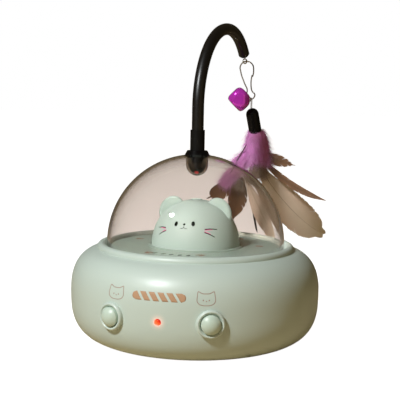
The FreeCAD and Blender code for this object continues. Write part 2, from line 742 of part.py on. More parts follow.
def laser_window():
    """The red pane, its front face flush with the holder's round end."""
    back = HOLDER_R - WINDOW_T
    side = math.sqrt(HOLDER_R ** 2 - WINDOW_R ** 2)
    rim_angle = math.degrees(math.acos(WINDOW_R / HOLDER_R))
    edges = [line((0, back), (WINDOW_R, back)), line((WINDOW_R, back), (WINDOW_R, side)),
             round_arc((0, 0), HOLDER_R, rim_angle, 90), line((0, HOLDER_R), (0, back))]
    pane = turned(edges)
    pane.Placement = FreeCAD.Placement(V(0, 0, holder_z), FreeCAD.Rotation(Z, window_axis()))
    return pane


def wand_point(along, z):
    return azimuth_dir(WAND_AZIMUTH) * along + V(0, 0, z)


sleeve_z = holder_top_z + STOP_GAP
wand_root_z = sleeve_z + SLEEVE_H - WAND_SOCKET


def wand_stations():
    """The bend ends of the wand's centreline: along, height and turn from upright."""
    along = 0.0
    z = wand_root_z + WAND_STRAIGHT
    turn = 0.0
    stations = [(along, z, turn)]
    for radius, sweep in WAND_BENDS:
        for part in (0.5, 1.0):
            t = math.radians(turn + sweep * part)
            u = along + radius * (math.cos(math.radians(turn)) - math.cos(t))
            w = z + radius * (math.sin(t) - math.sin(math.radians(turn)))
            stations.append((u, w, turn + sweep * part))
        along, z, turn = stations[-1]
    return stations


def wand_sweep(radius, stations):
    root = wand_point(0, wand_root_z)
    first = wand_point(stations[0][0], stations[0][1])
    edges = [Part.LineSegment(root, first).toShape()]
    for i in range(0, len(stations) - 1, 2):
        a, b, c = [wand_point(s[0], s[1]) for s in stations[i:i + 3]]
        edges.append(Part.Arc(a, b, c).toShape())
    circle = Part.Wire(Part.makeCircle(radius, root, Z))
    return Part.Wire(edges).makePipeShell([circle], True, False)


stations = wand_stations()
tip_along, tip_z, tip_heading = stations[-1]
tip_dir = azimuth_dir(WAND_AZIMUTH) * math.sin(math.radians(tip_heading))
tip_dir = tip_dir + V(0, 0, math.cos(math.radians(tip_heading)))
wand_dir = azimuth_dir(WAND_AZIMUTH)
across_dir = wand_dir.cross(Z)
tip_at = wand_point(tip_along, tip_z)
eye_at = tip_at + tip_dir * EYE_STEM - Z * EYE_R * 2


def eye_stem():
    return Part.makeCylinder(EYE_STEM_R, EYE_STEM + EYE_STEM_IN, tip_at - tip_dir * EYE_STEM_IN, tip_dir)


def wand_eye():
    """The wire ring that carries the hook; its stem runs up into the wand's tip."""
    ring = Part.makeTorus(EYE_R, EYE_WIRE_R, eye_at + Z * EYE_R, azimuth_dir(EYE_AZIMUTH))
    return joined(eye_stem(), ring)


def wand_tube():
    outer = wand_sweep(WAND_R, stations)
    nose = Part.makeCone(WAND_R, WAND_R - TIP_NOSE_IN, TIP_NOSE, tip_at, tip_dir)
    inner = wand_sweep(WAND_BORE_R, stations)
    plug = Part.makeCylinder(WAND_R, TIP_PLUG, tip_at - tip_dir * TIP_PLUG, tip_dir)
    return outer.fuse(nose).cut([inner.cut(plug), eye_stem()]).removeSplitter()


def wand_sleeve():
    top = sleeve_z + SLEEVE_H
    plug = disc(PLUG_R, holder_top_z - PLUG_LENGTH, sleeve_z)
    collar = disc(SLEEVE_R, sleeve_z, top)
    return joined(plug, collar).cut([disc(WAND_R, wand_root_z, top)])


def hook_point(pair, depth=0.0):
    """A point of the hook's plane, from the eye's lowest point."""
    return eye_at + across_dir * pair[0] + V(0, 0, pair[1]) + wand_dir * depth


def tangent_arc(start, heading, end):
    """The arc that leaves a point along a heading and ends at another point."""
    chord = end - start
    side = heading - chord * (heading.dot(chord) / chord.dot(chord))
    if side.Length < 1e-6:
        return Part.LineSegment(start, end).toShape()
    rise = chord.Length / 2 * math.tan(heading.getAngle(chord) / 2)
    return Part.Arc(start, start + chord / 2 + side.normalize() * rise, end).toShape()


def arc_pair(start, heading, end, last_heading):
    """Two arcs that join smoothly between two points with given headings."""
    chord = end - start
    total = heading + last_heading
    spread = 2 * (1 - heading.dot(last_heading))
    reach = chord.dot(total)
    if spread < 1e-9:
        step = chord.dot(chord) / (2 * reach)
    else:
        step = (math.sqrt(reach ** 2 + spread * chord.dot(chord)) - reach) / spread
    first = start + heading * step
    second = end - last_heading * step
    joint = (first + second) / 2
    return [tangent_arc(start, heading, joint), tangent_arc(joint, (second - first).normalize(), end)]


def smooth_wire(points, radius):
    """A round wire through the points, in tangent arcs."""
    chords = [b - a for a, b in zip(points, points[1:])]
    headings = []
    for a, b in zip(chords, chords[1:]):
        headings.append((a * (b.Length / a.Length) + b * (a.Length / b.Length)).normalize())
    first = chords[0] * (2 * headings[0].dot(chords[0]) / chords[0].dot(chords[0])) - headings[0]
    last = chords[-1] * (2 * headings[-1].dot(chords[-1]) / chords[-1].dot(chords[-1])) - headings[-1]
    headings = [first] + headings + [last]
    edges = []
    for i in range(len(chords)):
        edges += arc_pair(points[i], headings[i], points[i + 1], headings[i + 1])
    circle = Part.Wire(Part.makeCircle(radius, points[0], first))
    return Part.Wire(edges).makePipeShell([circle], True, False)


def snap_hook():
    """One bent wire whose open end laps in front of its own leg."""
    points = []
    count = len(HOOK_POINTS)
    for i, pair in enumerate(HOOK_POINTS):
        depth = 0.0
        if i == 0:
            depth = -HOOK_LAP
        if i == 1:
            depth = -HOOK_LAP / 2
        if i == count - 1:
            depth = HOOK_LAP / 3
        points.append(hook_point(pair, depth))
    return smooth_wire(points, HOOK_WIRE_R)


ring_at = hook_point(HOOK_RING)
bell_at = ring_at + across_dir * (BELL_OFFSET[0] + BELL_SIDE) + wand_dir * BELL_OFFSET[1]
bell_axis = (across_dir * BELL_OFFSET[0] + wand_dir * BELL_OFFSET[1]).normalize()


def bell_ball(grow):
    """A ball beaten flat on several sides, turned with the lure."""
    ball = Part.makeSphere(BELL_R + grow, V(0, 0, -BELL_SAG))
    reach = BELL_R * 2
    for direction, distance in BELL_FLATS:
        slab = box(-reach, -reach, distance + grow, reach, reach, distance + grow + reach)
        slab.Placement = FreeCAD.Placement(O, FreeCAD.Rotation(Z, V(*direction)))
        ball = ball.cut(slab)
    ball.rotate(O, Z, VIEW_AZIMUTH)
    return moved(ball, bell_at)


def bell_shell():
    shell = bell_ball(0).cut(bell_ball(-BELL_WALL))
    reach = BELL_R * 1.2
    slot = BELL_SLOT / 2
    top = BELL_SLOT_DEPTH - BELL_R - BELL_SAG
    cross = [box(-slot, -reach, -reach, slot, reach, top), box(-reach, -slot, -reach, reach, slot, top)]
    for cutter in cross:
        cutter.rotate(O, Z, VIEW_AZIMUTH + 45)
        cutter.translate(bell_at)
    return shell.cut(cross)


def bell_loop():
    centre = bell_at - bell_axis * LINK_AT
    ring = Part.makeTorus(LINK_R, LINK_WIRE_R, centre, bell_axis.cross(Z))
    return ring.cut(bell_ball(0))


def bell_pellet():
    """The loose ball, lying against the bell's lower flat."""
    drop = (BELL_FLATS[0][1] - BELL_WALL - PELLET_R - PELLET_GAP) * math.sqrt(2)
    return Part.makeSphere(PELLET_R, bell_at - V(0, 0, drop))


view_across = V(math.cos(math.radians(VIEW_AZIMUTH)), math.sin(math.radians(VIEW_AZIMUTH)), 0)
view_depth = V(-math.sin(math.radians(VIEW_AZIMUTH)), math.cos(math.radians(VIEW_AZIMUTH)), 0)
thread_at = ring_at + across_dir * THREAD_SIDE


def lure_point(pair, depth=0.0):
    """A point of the lure's plane, from the hook ring's lowest point."""
    return ring_at + view_across * pair[0] + V(0, 0, pair[1]) + view_depth * depth


def lure_thread():
    """The thread's loop over the hook and its two strands down into the cap."""
    left = thread_at - wand_dir * THREAD_LOOP_R
    right = thread_at + wand_dir * THREAD_LOOP_R
    down = V(0, 0, -THREAD_DROP - THREAD_IN)
    edges = [Part.LineSegment(left + down, left).toShape(),
             Part.Arc(left, thread_at + V(0, 0, THREAD_LOOP_R), right).toShape(),
             Part.LineSegment(right, right + down).toShape()]
    circle = Part.Wire(Part.makeCircle(THREAD_R, left + down, Z))
    return Part.Wire(edges).makePipeShell([circle], True, False)


def cap_direction():
    return view_across * cap_axis.x + V(0, 0, cap_axis.z)


def lure_cap():
    top = thread_at + V(0, 0, -THREAD_DROP)
    axis = cap_direction()
    start = top + axis * CAP_R
    end = top + axis * (CAP_LENGTH - CAP_R)
    barrel = Part.makeCylinder(CAP_R, CAP_LENGTH - 2 * CAP_R, start, axis)
    ends = [Part.makeSphere(CAP_R, start), Part.makeSphere(CAP_R, end)]
    strands = disc(THREAD_LOOP_R + THREAD_R, thread_at.z - THREAD_DROP - THREAD_IN, thread_at.z,
                   V(thread_at.x, thread_at.y, 0))
    return joined(barrel, *ends).cut([strands])


def down_lobe(start, end, radii):
    """A soft spindle from one point of the lure's plane to another."""
    a = lure_point(start)
    b = lure_point(end)
    length = (b - a).Length
    rings = [(r, length * i / (len(radii) - 1)) for i, r in enumerate(radii)]
    solid = turned_polygon([(0, 0)] + rings + [(0, length)])
    solid.Placement = FreeCAD.Placement(a, FreeCAD.Rotation(Z, b - a))
    return solid


def lure_down():
    lobes = [down_lobe(*lobe) for lobe in DOWN_LOBES]
    return joined(*lobes).cut([lure_cap()])


def feather(root, middle, tip, half_width, layer, bow_side, down):
    """A long leaf cut from a gently bowed sheet, starting inside the down."""
    a = V(root[0], 0, root[1])
    m = V(middle[0], 0, middle[1])
    b = V(tip[0], 0, tip[1])
    along = (b - a).normalize()
    side = V(along.z, 0, -along.x)
    left = [a + side * half_width * 0.25, m + side * half_width, b]
    right = [b, m - side * half_width, a - side * half_width * 0.25]
    edges = []
    for points in (left, right):
        curve = Part.BSplineCurve()
        curve.interpolate(points)
        edges.append(curve.toShape())
    edges.append(Part.LineSegment(right[-1], left[0]).toShape())
    face = Part.Face(Part.Wire(edges))
    reach = FEATHER_BOW
    blade = moved(face, V(0, -reach / 2, 0)).extrude(V(0, reach, 0))
    centre = V(a.x, layer + bow_side * FEATHER_BOW, a.z)
    axis_start = centre - side * reach
    sheet = Part.makeCylinder(FEATHER_BOW + FEATHER_T / 2, reach * 2, axis_start, side)
    sheet = sheet.cut(Part.makeCylinder(FEATHER_BOW - FEATHER_T / 2, reach * 2, axis_start, side))
    leaf = sheet.common(blade)
    leaf.rotate(O, Z, VIEW_AZIMUTH)
    return moved(leaf, ring_at).cut(down)


def gear_outline(teeth, module, tip_r, root_r, widen, phase):
    """A gear's outline: involute flanks drawn as arcs through three of their points."""
    pitch_r = teeth * module / 2
    base_r = pitch_r * math.cos(math.radians(PRESSURE_ANGLE))
    pressure = math.radians(PRESSURE_ANGLE)
    start_r = max(base_r, root_r)

    def half_angle(r):
        a = math.acos(min(base_r / r, 1.0))
        inv = math.tan(a) - a
        inv_pitch = math.tan(pressure) - pressure
        return math.pi / 2 / teeth + widen / 2 / pitch_r + inv_pitch - inv

    def at(r, angle):
        return V(r * math.cos(angle), r * math.sin(angle), 0)

    edges = []
    step = 2 * math.pi / teeth
    mid_r = (start_r + tip_r) / 2
    for i in range(teeth):
        c = math.radians(phase) + i * step
        root_a = half_angle(start_r)
        tip_a = half_angle(tip_r)
        mid_a = half_angle(mid_r)
        if root_r < start_r - 1e-6:
            edges.append(Part.LineSegment(at(root_r, c - root_a), at(start_r, c - root_a)).toShape())
        edges.append(Part.Arc(at(start_r, c - root_a), at(mid_r, c - mid_a), at(tip_r, c - tip_a)).toShape())
        edges.append(Part.Arc(at(tip_r, c - tip_a), at(tip_r, c), at(tip_r, c + tip_a)).toShape())
        edges.append(Part.Arc(at(tip_r, c + tip_a), at(mid_r, c + mid_a), at(start_r, c + root_a)).toShape())
        if root_r < start_r - 1e-6:
            edges.append(Part.LineSegment(at(start_r, c + root_a), at(root_r, c + root_a)).toShape())
        edges.append(Part.Arc(at(root_r, c + root_a), at(root_r, c + step / 2),
                              at(root_r, c + step - root_a)).toShape())
    return Part.Wire(edges)


def gear(teeth, module, z0, z1, at, phase):
    pitch_r = teeth * module / 2
    outline = gear_outline(teeth, module, pitch_r + ADDENDUM * module, pitch_r - DEDENDUM * module,
                           -BACKLASH, phase)
    return moved(Part.Face(outline).extrude(V(0, 0, z1 - z0)), V(at.x, at.y, z0))


def pitch_share(direction, phase, teeth):
    """How far a direction lies past a tooth's middle, as a share of one tooth's pitch."""
    return ((direction - phase) * teeth / 360) % 1


def phase_outside(direction, phase, teeth, other_teeth):
    """The phase of a gear meshed outside another in a direction from it."""
    share = 0.5 - pitch_share(direction, phase, teeth)
    return direction + 180 - share * 360 / other_teeth


def phase_inside(direction, phase, teeth, other_teeth):
    """The phase of a pinion meshed inside a ring gear in a direction from its centre."""
    share = pitch_share(direction, phase, teeth) + 0.5
    return direction - share * 360 / other_teeth


RING_PHASE = 0.0
drive_phase = phase_inside(90, RING_PHASE, RING_TEETH, PINION_TEETH)
idler_phase = phase_outside(TRAIN_TURN_1, 0, WHEEL_TEETH, PINION_TEETH)
motor_phase = phase_outside(TRAIN_TURN_2, 0, WHEEL_TEETH, PINION_TEETH)


def turntable_ring():
    """The ring gear with the dome's channel on top and the bearing groove beneath."""
    root_r = ring_pitch_r + DEDENDUM * RING_MODULE
    tooth_r = ring_pitch_r - ADDENDUM * RING_MODULE
    outer_r = channel_out_r + RING_WALL
    gear_top = ring_z + RING_GEAR_H
    foot_z = DOME_Z - DOME_FOOT
    body = turned_polygon([(tooth_r, ring_z), (outer_r, ring_z), (outer_r, ring_top_z),
                           (channel_out_r, ring_top_z), (channel_out_r, foot_z), (channel_in_r, foot_z),
                           (channel_in_r, ring_top_z), (RAIL_R - RAIL_T, ring_top_z),
                           (RAIL_R - RAIL_T, gear_top), (tooth_r, gear_top)])
    groove = tube(RAIL_R + RAIL_T / 2 + RAIL_FIT, RAIL_R - RAIL_T / 2 - RAIL_FIT,
                  ring_z, ring_z + RAIL_H)
    spaces = gear_outline(RING_TEETH, RING_MODULE, root_r, tooth_r, BACKLASH,
                          RING_PHASE + 180 / RING_TEETH)
    spaces = moved(Part.Face(spaces).extrude(V(0, 0, RING_GEAR_H)), V(0, 0, ring_z))
    return body.cut([groove, spaces])


def drive_gear():
    """The wheel under the chassis and the pinion above it on one neck."""
    pinion_low = layer_b_z + GEAR_FACE + GEAR_GAP / 2
    parts = [gear(WHEEL_TEETH, TRAIN_MODULE, layer_a_z, layer_a_z + GEAR_FACE, drive_at, 0),
             disc(DRIVE_NECK_R, layer_a_z, pinion_low, drive_at),
             gear(PINION_TEETH, RING_MODULE, pinion_low, ring_z + RING_GEAR_H, drive_at, drive_phase)]
    bore = disc(DRIVE_PIN_R + GEAR_BORE_FIT, layer_a_z, ring_z + RING_GEAR_H, drive_at)
    return joined(*parts).cut(bore)


def reduction_gear():
    parts = [gear(PINION_TEETH, TRAIN_MODULE, layer_a_z, layer_b_z, idler_at, idler_phase),
             gear(WHEEL_TEETH, TRAIN_MODULE, layer_b_z, layer_b_z + GEAR_FACE, idler_at, 0)]
    bore = disc(IDLER_PIN_R + GEAR_BORE_FIT, layer_a_z, layer_b_z + GEAR_FACE, idler_at)
    return joined(*parts).cut(bore)


def motor_pinion():
    solid = gear(PINION_TEETH, TRAIN_MODULE, layer_a_z, layer_b_z + GEAR_FACE, motor_at, motor_phase)
    return solid.cut(disc(MOTOR_SHAFT_R, layer_a_z, layer_b_z + GEAR_FACE, motor_at))


def motor():
    flat = MOTOR_FLAT / 2
    can = disc(MOTOR_R, motor_z, plate_z, motor_at)
    can = can.common(box(motor_at.x - MOTOR_R, motor_at.y - flat, motor_z,
                         motor_at.x + MOTOR_R, motor_at.y + flat, plate_z))
    boss = disc(MOTOR_BOSS_R, plate_z, plate_z + PLATE_T - 0.4, motor_at)
    cutters = [disc(MOTOR_SHAFT_R + MOTOR_BORE_FIT, motor_z + 2, plate_z + PLATE_T, motor_at)]
    for place in motor_screw_places():
        cutters.append(disc(MOTOR_SCREW[2], plate_z + PLATE_T - MOTOR_SCREW[3], plate_z, place))
    return joined(can, boss).cut(cutters)


def motor_screw_places():
    return [motor_at + V(MOTOR_SCREW_AT, 0, 0), motor_at - V(MOTOR_SCREW_AT, 0, 0)]


def motor_shaft():
    return disc(MOTOR_SHAFT_R, motor_z + 2.2, layer_b_z + GEAR_FACE + GEAR_GAP / 3, motor_at)


def gearbox_plate():
    x0, y0, x1, y1 = PLATE_BOX
    plate = box(x0, y0, plate_z, x1, y1, plate_z + PLATE_T)
    cutters = [disc(MOTOR_BOSS_R, plate_z, plate_z + PLATE_T, motor_at),
               disc(DRIVE_PIN_R, plate_z, plate_z + PLATE_T, drive_at),
               disc(IDLER_PIN_R, plate_z, plate_z + PLATE_T, idler_at)]
    for place in motor_screw_places():
        cutters.append(disc(MOTOR_SCREW[2], plate_z, plate_z + PLATE_T, place))
    for place in plate_places():
        cutters.append(disc(SMALL_SCREW[2] + SCREW_CLEAR, plate_z, plate_z + PLATE_T, place))
    return plate.cut(cutters)


def gear_axles():
    pin_boss_z = ring_z + RING_GEAR_H + RING_GAP
    drive_pin = disc(DRIVE_PIN_R, plate_z, pin_boss_z + CHASSIS_T * 2, drive_at)
    idler_pin = disc(IDLER_PIN_R, plate_z, chassis_z + CHASSIS_T / 2, idler_at)
    return group([drive_pin, idler_pin])


def chassis():
    plate = disc(CHASSIS_R, chassis_z, chassis_top_z)
    rail = tube(RAIL_R + RAIL_T / 2, RAIL_R - RAIL_T / 2, chassis_top_z, ring_z + RAIL_H - RING_GAP)
    parts = [plate, rail]
    pinion_tip = PINION_TEETH * RING_MODULE / 2 + ADDENDUM * RING_MODULE
    cutters = [disc(pinion_tip + 0.5, chassis_z, chassis_top_z, drive_at),
               disc(IDLER_PIN_R, chassis_z, chassis_z + CHASSIS_T / 2, idler_at),
               disc(WIRE_HOLE_R, chassis_z, chassis_top_z)]
    for place in plate_places():
        parts.append(disc(PLATE_POST_R, plate_z + PLATE_T, chassis_z, place))
        cutters.append(disc(SMALL_SCREW[2], plate_z, plate_z + SMALL_SCREW[3], place))
    for place in quarter_places(CHASSIS_POST_AT, 0):
        cutters.append(disc(BIG_SCREW[2] + SCREW_CLEAR, chassis_z, chassis_top_z, place))
    for place in quarter_places(DECK_POST_AT, 45):
        cutters.append(disc(SMALL_SCREW[2] + SCREW_CLEAR, chassis_z, chassis_top_z, place))
    return joined(*parts).cut(cutters)


def cell_rows():
    """Each cell's Y and which way it lies, in turn."""
    first = -CELL_PITCH * (CELL_COUNT - 1) / 2
    return [(first + CELL_PITCH * i, 1 if i % 2 == 0 else -1) for i in range(CELL_COUNT)]


def batteries():
    cells = []
    end = bay_x - CONTACT_T
    for y, way in cell_rows():
        body = Part.makeCylinder(CELL_D / 2, CELL_L - CELL_NUB, V(way * (end - CELL_L), y, cell_z), X * way)
        nub = Part.makeCylinder(CELL_NUB_R, CELL_NUB, V(way * (end - CELL_NUB), y, cell_z), X * way)
        cells.append(joined(body, nub))
    return group(cells)


def battery_springs():
    springs = []
    end = bay_x - CONTACT_T
    for y, way in cell_rows():
        springs.append(Part.makeCone(SPRING_R, SPRING_R * 0.6, SPRING_L, V(-way * end, y, cell_z), X * way))
    return group(springs)


def battery_contacts():
    plates = []
    half = CONTACT_SIZE / 2
    for y, way in cell_rows():
        for x0 in (-bay_x, bay_x - CONTACT_T):
            plates.append(box(x0, y - half, cell_z - half, x0 + CONTACT_T, y + half, cell_z + half))
    return group(plates)


def battery_door():
    x = bay_x + DOOR_LEDGE - DOOR_GAP
    y = bay_y + DOOR_LEDGE - DOOR_GAP
    tab_x = bay_x + DOOR_LEDGE + DOOR_TAB
    plate = box(-x, -y, FOOT_PROUD, x, y, bay_z)
    tab = box(0, -DOOR_TAB_W / 2 + DOOR_GAP, FOOT_PROUD, tab_x - DOOR_GAP, DOOR_TAB_W / 2 - DOOR_GAP, bay_z)
    place = V(tab_x - DOOR_TAB / 2, 0, 0)
    recess = disc(SMALL_SCREW[0] + SCREW_CLEAR, FOOT_PROUD, door_seat_z(), place)
    hole = disc(SMALL_SCREW[2] + SCREW_CLEAR, FOOT_PROUD, bay_z, place)
    return joined(plate, tab).cut([recess, hole])


def door_seat_z():
    return FOOT_PROUD + SMALL_SCREW[1] + 0.1


def rubber_feet():
    return group([disc(FOOT_R, 0, FOOT_PROUD + FOOT_SINK, place)
                  for place in quarter_places(FOOT_AT * math.sqrt(2), 45)])


def case_screws():
    return group([screw(BIG_SCREW, CASE_SHELF_Z, place, True) for place in case_screw_places()])


def chassis_screws():
    return group([screw(BIG_SCREW, chassis_top_z, place, False)
                  for place in quarter_places(CHASSIS_POST_AT, 0)])


def small_screws():
    """Every small self-tapping screw: deck, head, laser holder, gearbox and battery door."""
    solids = [screw(SMALL_SCREW, chassis_z, place, True) for place in quarter_places(DECK_POST_AT, 45)]
    for place in head_screw_places() + laser_screw_places():
        solids.append(screw(SMALL_SCREW, deck_under_z, place, True))
    for place in plate_places():
        solids.append(screw(SMALL_SCREW, plate_z, place, True))
    tab_x = bay_x + DOOR_LEDGE + DOOR_TAB
    solids.append(screw(SMALL_SCREW, door_seat_z(), V(tab_x - DOOR_TAB / 2, 0, 0), True))
    return group(solids)


def motor_screws():
    return group([screw(MOTOR_SCREW, plate_z + PLATE_T, place, False) for place in motor_screw_places()])


def button_collar(azimuth):
    front = BASE_R + COLLAR_PROUD
    crown = ((collar_bore_r + COLLAR_R) / 2 + 0.2, front)
    edges = [line((collar_bore_r, sleeve_back), (sleeve_r, sleeve_back)),
             line((sleeve_r, sleeve_back), (sleeve_r, collar_seat)),
             line((sleeve_r, collar_seat), (COLLAR_R, collar_seat)),
             line((COLLAR_R, collar_seat), (COLLAR_R, front - 1.6)),
             arc((COLLAR_R, front - 1.6), (COLLAR_R - 0.5, front - 0.45), crown),
             arc(crown, (collar_bore_r + 0.7, front - 0.8), (collar_bore_r, front - 2.2)),
             line((collar_bore_r, front - 2.2), (collar_bore_r, sleeve_back))]
    return radial(turned(edges), azimuth, BUTTON_Z)


def button_cap(azimuth):
    """The domed cap, its retaining flange behind the collar and its stem."""
    rim = button_front - BUTTON_DOME
    edges = [line((0, stem_back), (STEM_R, stem_back)), line((STEM_R, stem_back), (STEM_R, flange_back)),
             line((STEM_R, flange_back), (BUTTON_FLANGE_R, flange_back)),
             line((BUTTON_FLANGE_R, flange_back), (BUTTON_FLANGE_R, flange_front)),
             line((BUTTON_FLANGE_R, flange_front), (BUTTON_R, flange_front)),
             line((BUTTON_R, flange_front), (BUTTON_R, rim)), crown_arc(BUTTON_R, rim, button_front),
             line((0, button_front), (0, stem_back))]
    return radial(turned(edges), azimuth, BUTTON_Z)


def switch_plunger(azimuth):
    solid = disc(STEM_R, stem_back - PLUNGER_L, stem_back)
    return radial(solid, azimuth, BUTTON_Z)


def switch_body(azimuth):
    half = SWITCH_SIZE / 2
    front = stem_back - PLUNGER_PROUD
    solid = box(-half, -half, front - SWITCH_H, half, half, front)
    well = disc(STEM_R + BUTTON_GAP, stem_back - PLUNGER_L - BUTTON_TRAVEL - PLUNGER_ROOM, front)
    return radial(solid.cut(well), azimuth, BUTTON_Z)


def switch_boards():
    boards = []
    x = SWITCH_BOARD_W / 2
    z = SWITCH_BOARD_H / 2
    for name, azimuth in button_azimuths:
        board = box(-x, -board_front, BUTTON_Z - z, x, BOARD_T - board_front, BUTTON_Z + z)
        boards.append(spun(board, azimuth))
    return group(boards)


def status_led():
    tip = BASE_R
    back = tip - LED_L
    parts = [disc(LED_R, back, tip - LED_R), Part.makeSphere(LED_R, V(0, 0, tip - LED_R)),
             disc(LED_FLANGE_R, back, back + 1)]
    for side in (-1, 1):
        parts.append(disc(LED_LEAD_R, MAIN_BOARD_AT + BOARD_T, back, V(side * LED_LEAD_X, 0, 0)))
    return radial(joined(*parts), 0, BUTTON_Z)


def main_board():
    x = MAIN_BOARD_W / 2
    board = box(-x, -MAIN_BOARD_AT - BOARD_T, MAIN_BOARD_Z, x, -MAIN_BOARD_AT, MAIN_BOARD_Z + MAIN_BOARD_H)
    length, depth, height = CHIP
    chip_z = MAIN_BOARD_Z + MAIN_BOARD_H - height - 2
    chip = box(-length / 2, -MAIN_BOARD_AT, chip_z, length / 2, depth - MAIN_BOARD_AT, chip_z + height)
    return joined(board, chip)


def nodes():
    """Every sub-part by its name."""
    down = lure_down()
    made = {
        "lower_shell": lower_shell(), "upper_shell": upper_shell(), "deck": deck(),
        "cat_head": cat_head(), "crown_lens": crown_lens(), "laser_holder": laser_holder(),
        "laser_module": laser_module(), "clear_dome": clear_dome(), "wand_holder": wand_holder(),
        "laser_mirror": laser_mirror(), "laser_window": laser_window(), "wand_sleeve": wand_sleeve(),
        "wand_tube": wand_tube(), "wand_eye": wand_eye(), "snap_hook": snap_hook(),
        "bell_shell": bell_shell(), "bell_loop": bell_loop(), "bell_pellet": bell_pellet(),
        "lure_thread": lure_thread(), "lure_cap": lure_cap(), "lure_down": down,
        "turntable_ring": turntable_ring(), "drive_gear": drive_gear(),
        "reduction_gear": reduction_gear(), "motor_pinion": motor_pinion(), "motor": motor(),
        "motor_shaft": motor_shaft(), "gearbox_plate": gearbox_plate(), "gear_axles": gear_axles(),
        "chassis": chassis(), "batteries": batteries(), "battery_springs": battery_springs(),
        "battery_contacts": battery_contacts(), "battery_door": battery_door(),
        "rubber_feet": rubber_feet(), "case_screws": case_screws(), "chassis_screws": chassis_screws(),
        "small_screws": small_screws(), "motor_screws": motor_screws(),
        "switch_boards": switch_boards(), "status_led": status_led(), "main_board": main_board(),
    }
    for name, azimuth in button_azimuths:
        made["button_cap_" + name] = button_cap(azimuth)
        made["button_collar_" + name] = button_collar(azimuth)
        made["switch_body_" + name] = switch_body(azimuth)
        made["switch_plunger_" + name] = switch_plunger(azimuth)
    for name, *leaf in FEATHERS:
        made[name] = feather(*leaf, down)
    return made


os.makedirs("parts", exist_ok=True)
for node_name, node_shape in nodes().items():
    node_shape.exportStep("parts/" + node_name + ".step")
    print(f"{node_name:24s} solids {len(node_shape.Solids):2d} volume {node_shape.Volume:10.1f} "
          f"valid {node_shape.isValid()}")
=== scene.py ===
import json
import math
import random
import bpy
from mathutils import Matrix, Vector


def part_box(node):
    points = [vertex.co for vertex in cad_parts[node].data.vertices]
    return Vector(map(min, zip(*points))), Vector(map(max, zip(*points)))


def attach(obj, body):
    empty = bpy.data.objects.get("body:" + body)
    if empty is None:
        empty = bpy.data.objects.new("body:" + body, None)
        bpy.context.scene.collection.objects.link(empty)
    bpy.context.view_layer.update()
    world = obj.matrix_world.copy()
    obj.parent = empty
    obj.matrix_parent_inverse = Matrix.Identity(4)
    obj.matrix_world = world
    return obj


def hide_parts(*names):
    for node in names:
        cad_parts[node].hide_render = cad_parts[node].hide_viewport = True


bl_info = {
    "name": "Interactive cat toy",
    "version": (1, 0, 0),
    "blender": (4, 5, 0),
    "location": "View3D > Sidebar > Cat Toy",
    "description": "Dresses the turning cat toy: mint shells, clear dome, bent wand, bell and feathers",
    "category": "Object",
}

import bpy
import bmesh
from mathutils import Matrix, Quaternion, Vector, noise
from mathutils.bvhtree import BVHTree

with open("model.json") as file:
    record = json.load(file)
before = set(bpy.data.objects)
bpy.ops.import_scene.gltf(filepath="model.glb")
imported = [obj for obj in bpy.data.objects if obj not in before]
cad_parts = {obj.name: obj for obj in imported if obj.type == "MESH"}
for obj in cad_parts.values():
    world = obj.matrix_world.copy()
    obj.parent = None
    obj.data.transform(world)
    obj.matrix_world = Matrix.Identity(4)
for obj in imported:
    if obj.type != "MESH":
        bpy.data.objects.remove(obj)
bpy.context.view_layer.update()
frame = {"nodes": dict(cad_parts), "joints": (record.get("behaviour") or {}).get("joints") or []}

MM = 0.001
UP = Vector((0, 0, 1))
PIVOTS = {joint["name"]: Vector(joint.get("pos_m") or (0, 0, 0)) for joint in frame["joints"]}
DECK_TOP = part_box("cat_head")[0].z


def colour_prop(name, text, value):
    return bpy.props.FloatVectorProperty(
        name=name, description=text, subtype="COLOR", size=3, min=0, max=1, default=value)


def length_prop(name, text, value):
    return bpy.props.FloatProperty(
        name=name, description=text, subtype="DISTANCE", unit="LENGTH", precision=5, default=value)


def angle_prop(name, text, degrees):
    return bpy.props.FloatProperty(
        name=name, description=text, subtype="ANGLE", unit="ROTATION", default=math.radians(degrees))


def plain_prop(name, text, value):
    return bpy.props.FloatProperty(name=name, description=text, precision=4, default=value)


def count_prop(name, text, value):
    return bpy.props.IntProperty(name=name, description=text, min=1, default=value)


class CatToyPlastic(bpy.types.PropertyGroup):
    mint: colour_prop("Mint", "Moulded mint plastic of the base", (0.555, 0.64, 0.575))
    # The head's mint is a darker copy of the base's mint: painted shade under the dome.
    head_mint_painted_shade: colour_prop("Head mint", "Mint of the head, darker as painted shade under the dome", (0.45, 0.565, 0.515))
    # The deck's mint is a darker copy of the base's mint: painted shade under the dome.
    deck_mint_painted_shade: colour_prop("Deck mint", "Mint of the deck, darker as painted shade under the dome", (0.29, 0.38, 0.33))
    button_mint: colour_prop("Button mint", "Paler mint of the push buttons", (0.56, 0.67, 0.57))
    roughness: plain_prop("Roughness", "Roughness of the moulded skin", 0.46)
    grain: plain_prop("Grain", "Strength of the moulded skin's fine texture", 0.05)
    glow: colour_prop("Glow", "The lit red of the status light", (1.0, 0.10, 0.02))
    halo: length_prop("Halo", "How far the light spreads over the shell", 8.5 * MM)


class CatToyPrint(bpy.types.PropertyGroup):
    stripe: colour_prop("Stripe", "Ink of the striped bar", (0.50, 0.30, 0.18))
    outline: colour_prop("Outline", "Ink of the cat outlines", (0.40, 0.27, 0.22))
    face: colour_prop("Face", "Ink of the eyes and whiskers", (0.007, 0.010, 0.009))
    blush: colour_prop("Blush", "Pink ink by the whiskers", (0.85, 0.24, 0.42))
    paw: colour_prop("Paw", "Orange-brown ink of the deck's prints", (0.24, 0.09, 0.05))
    thickness: length_prop("Ink", "Thickness of a printed layer", 0.06 * MM)


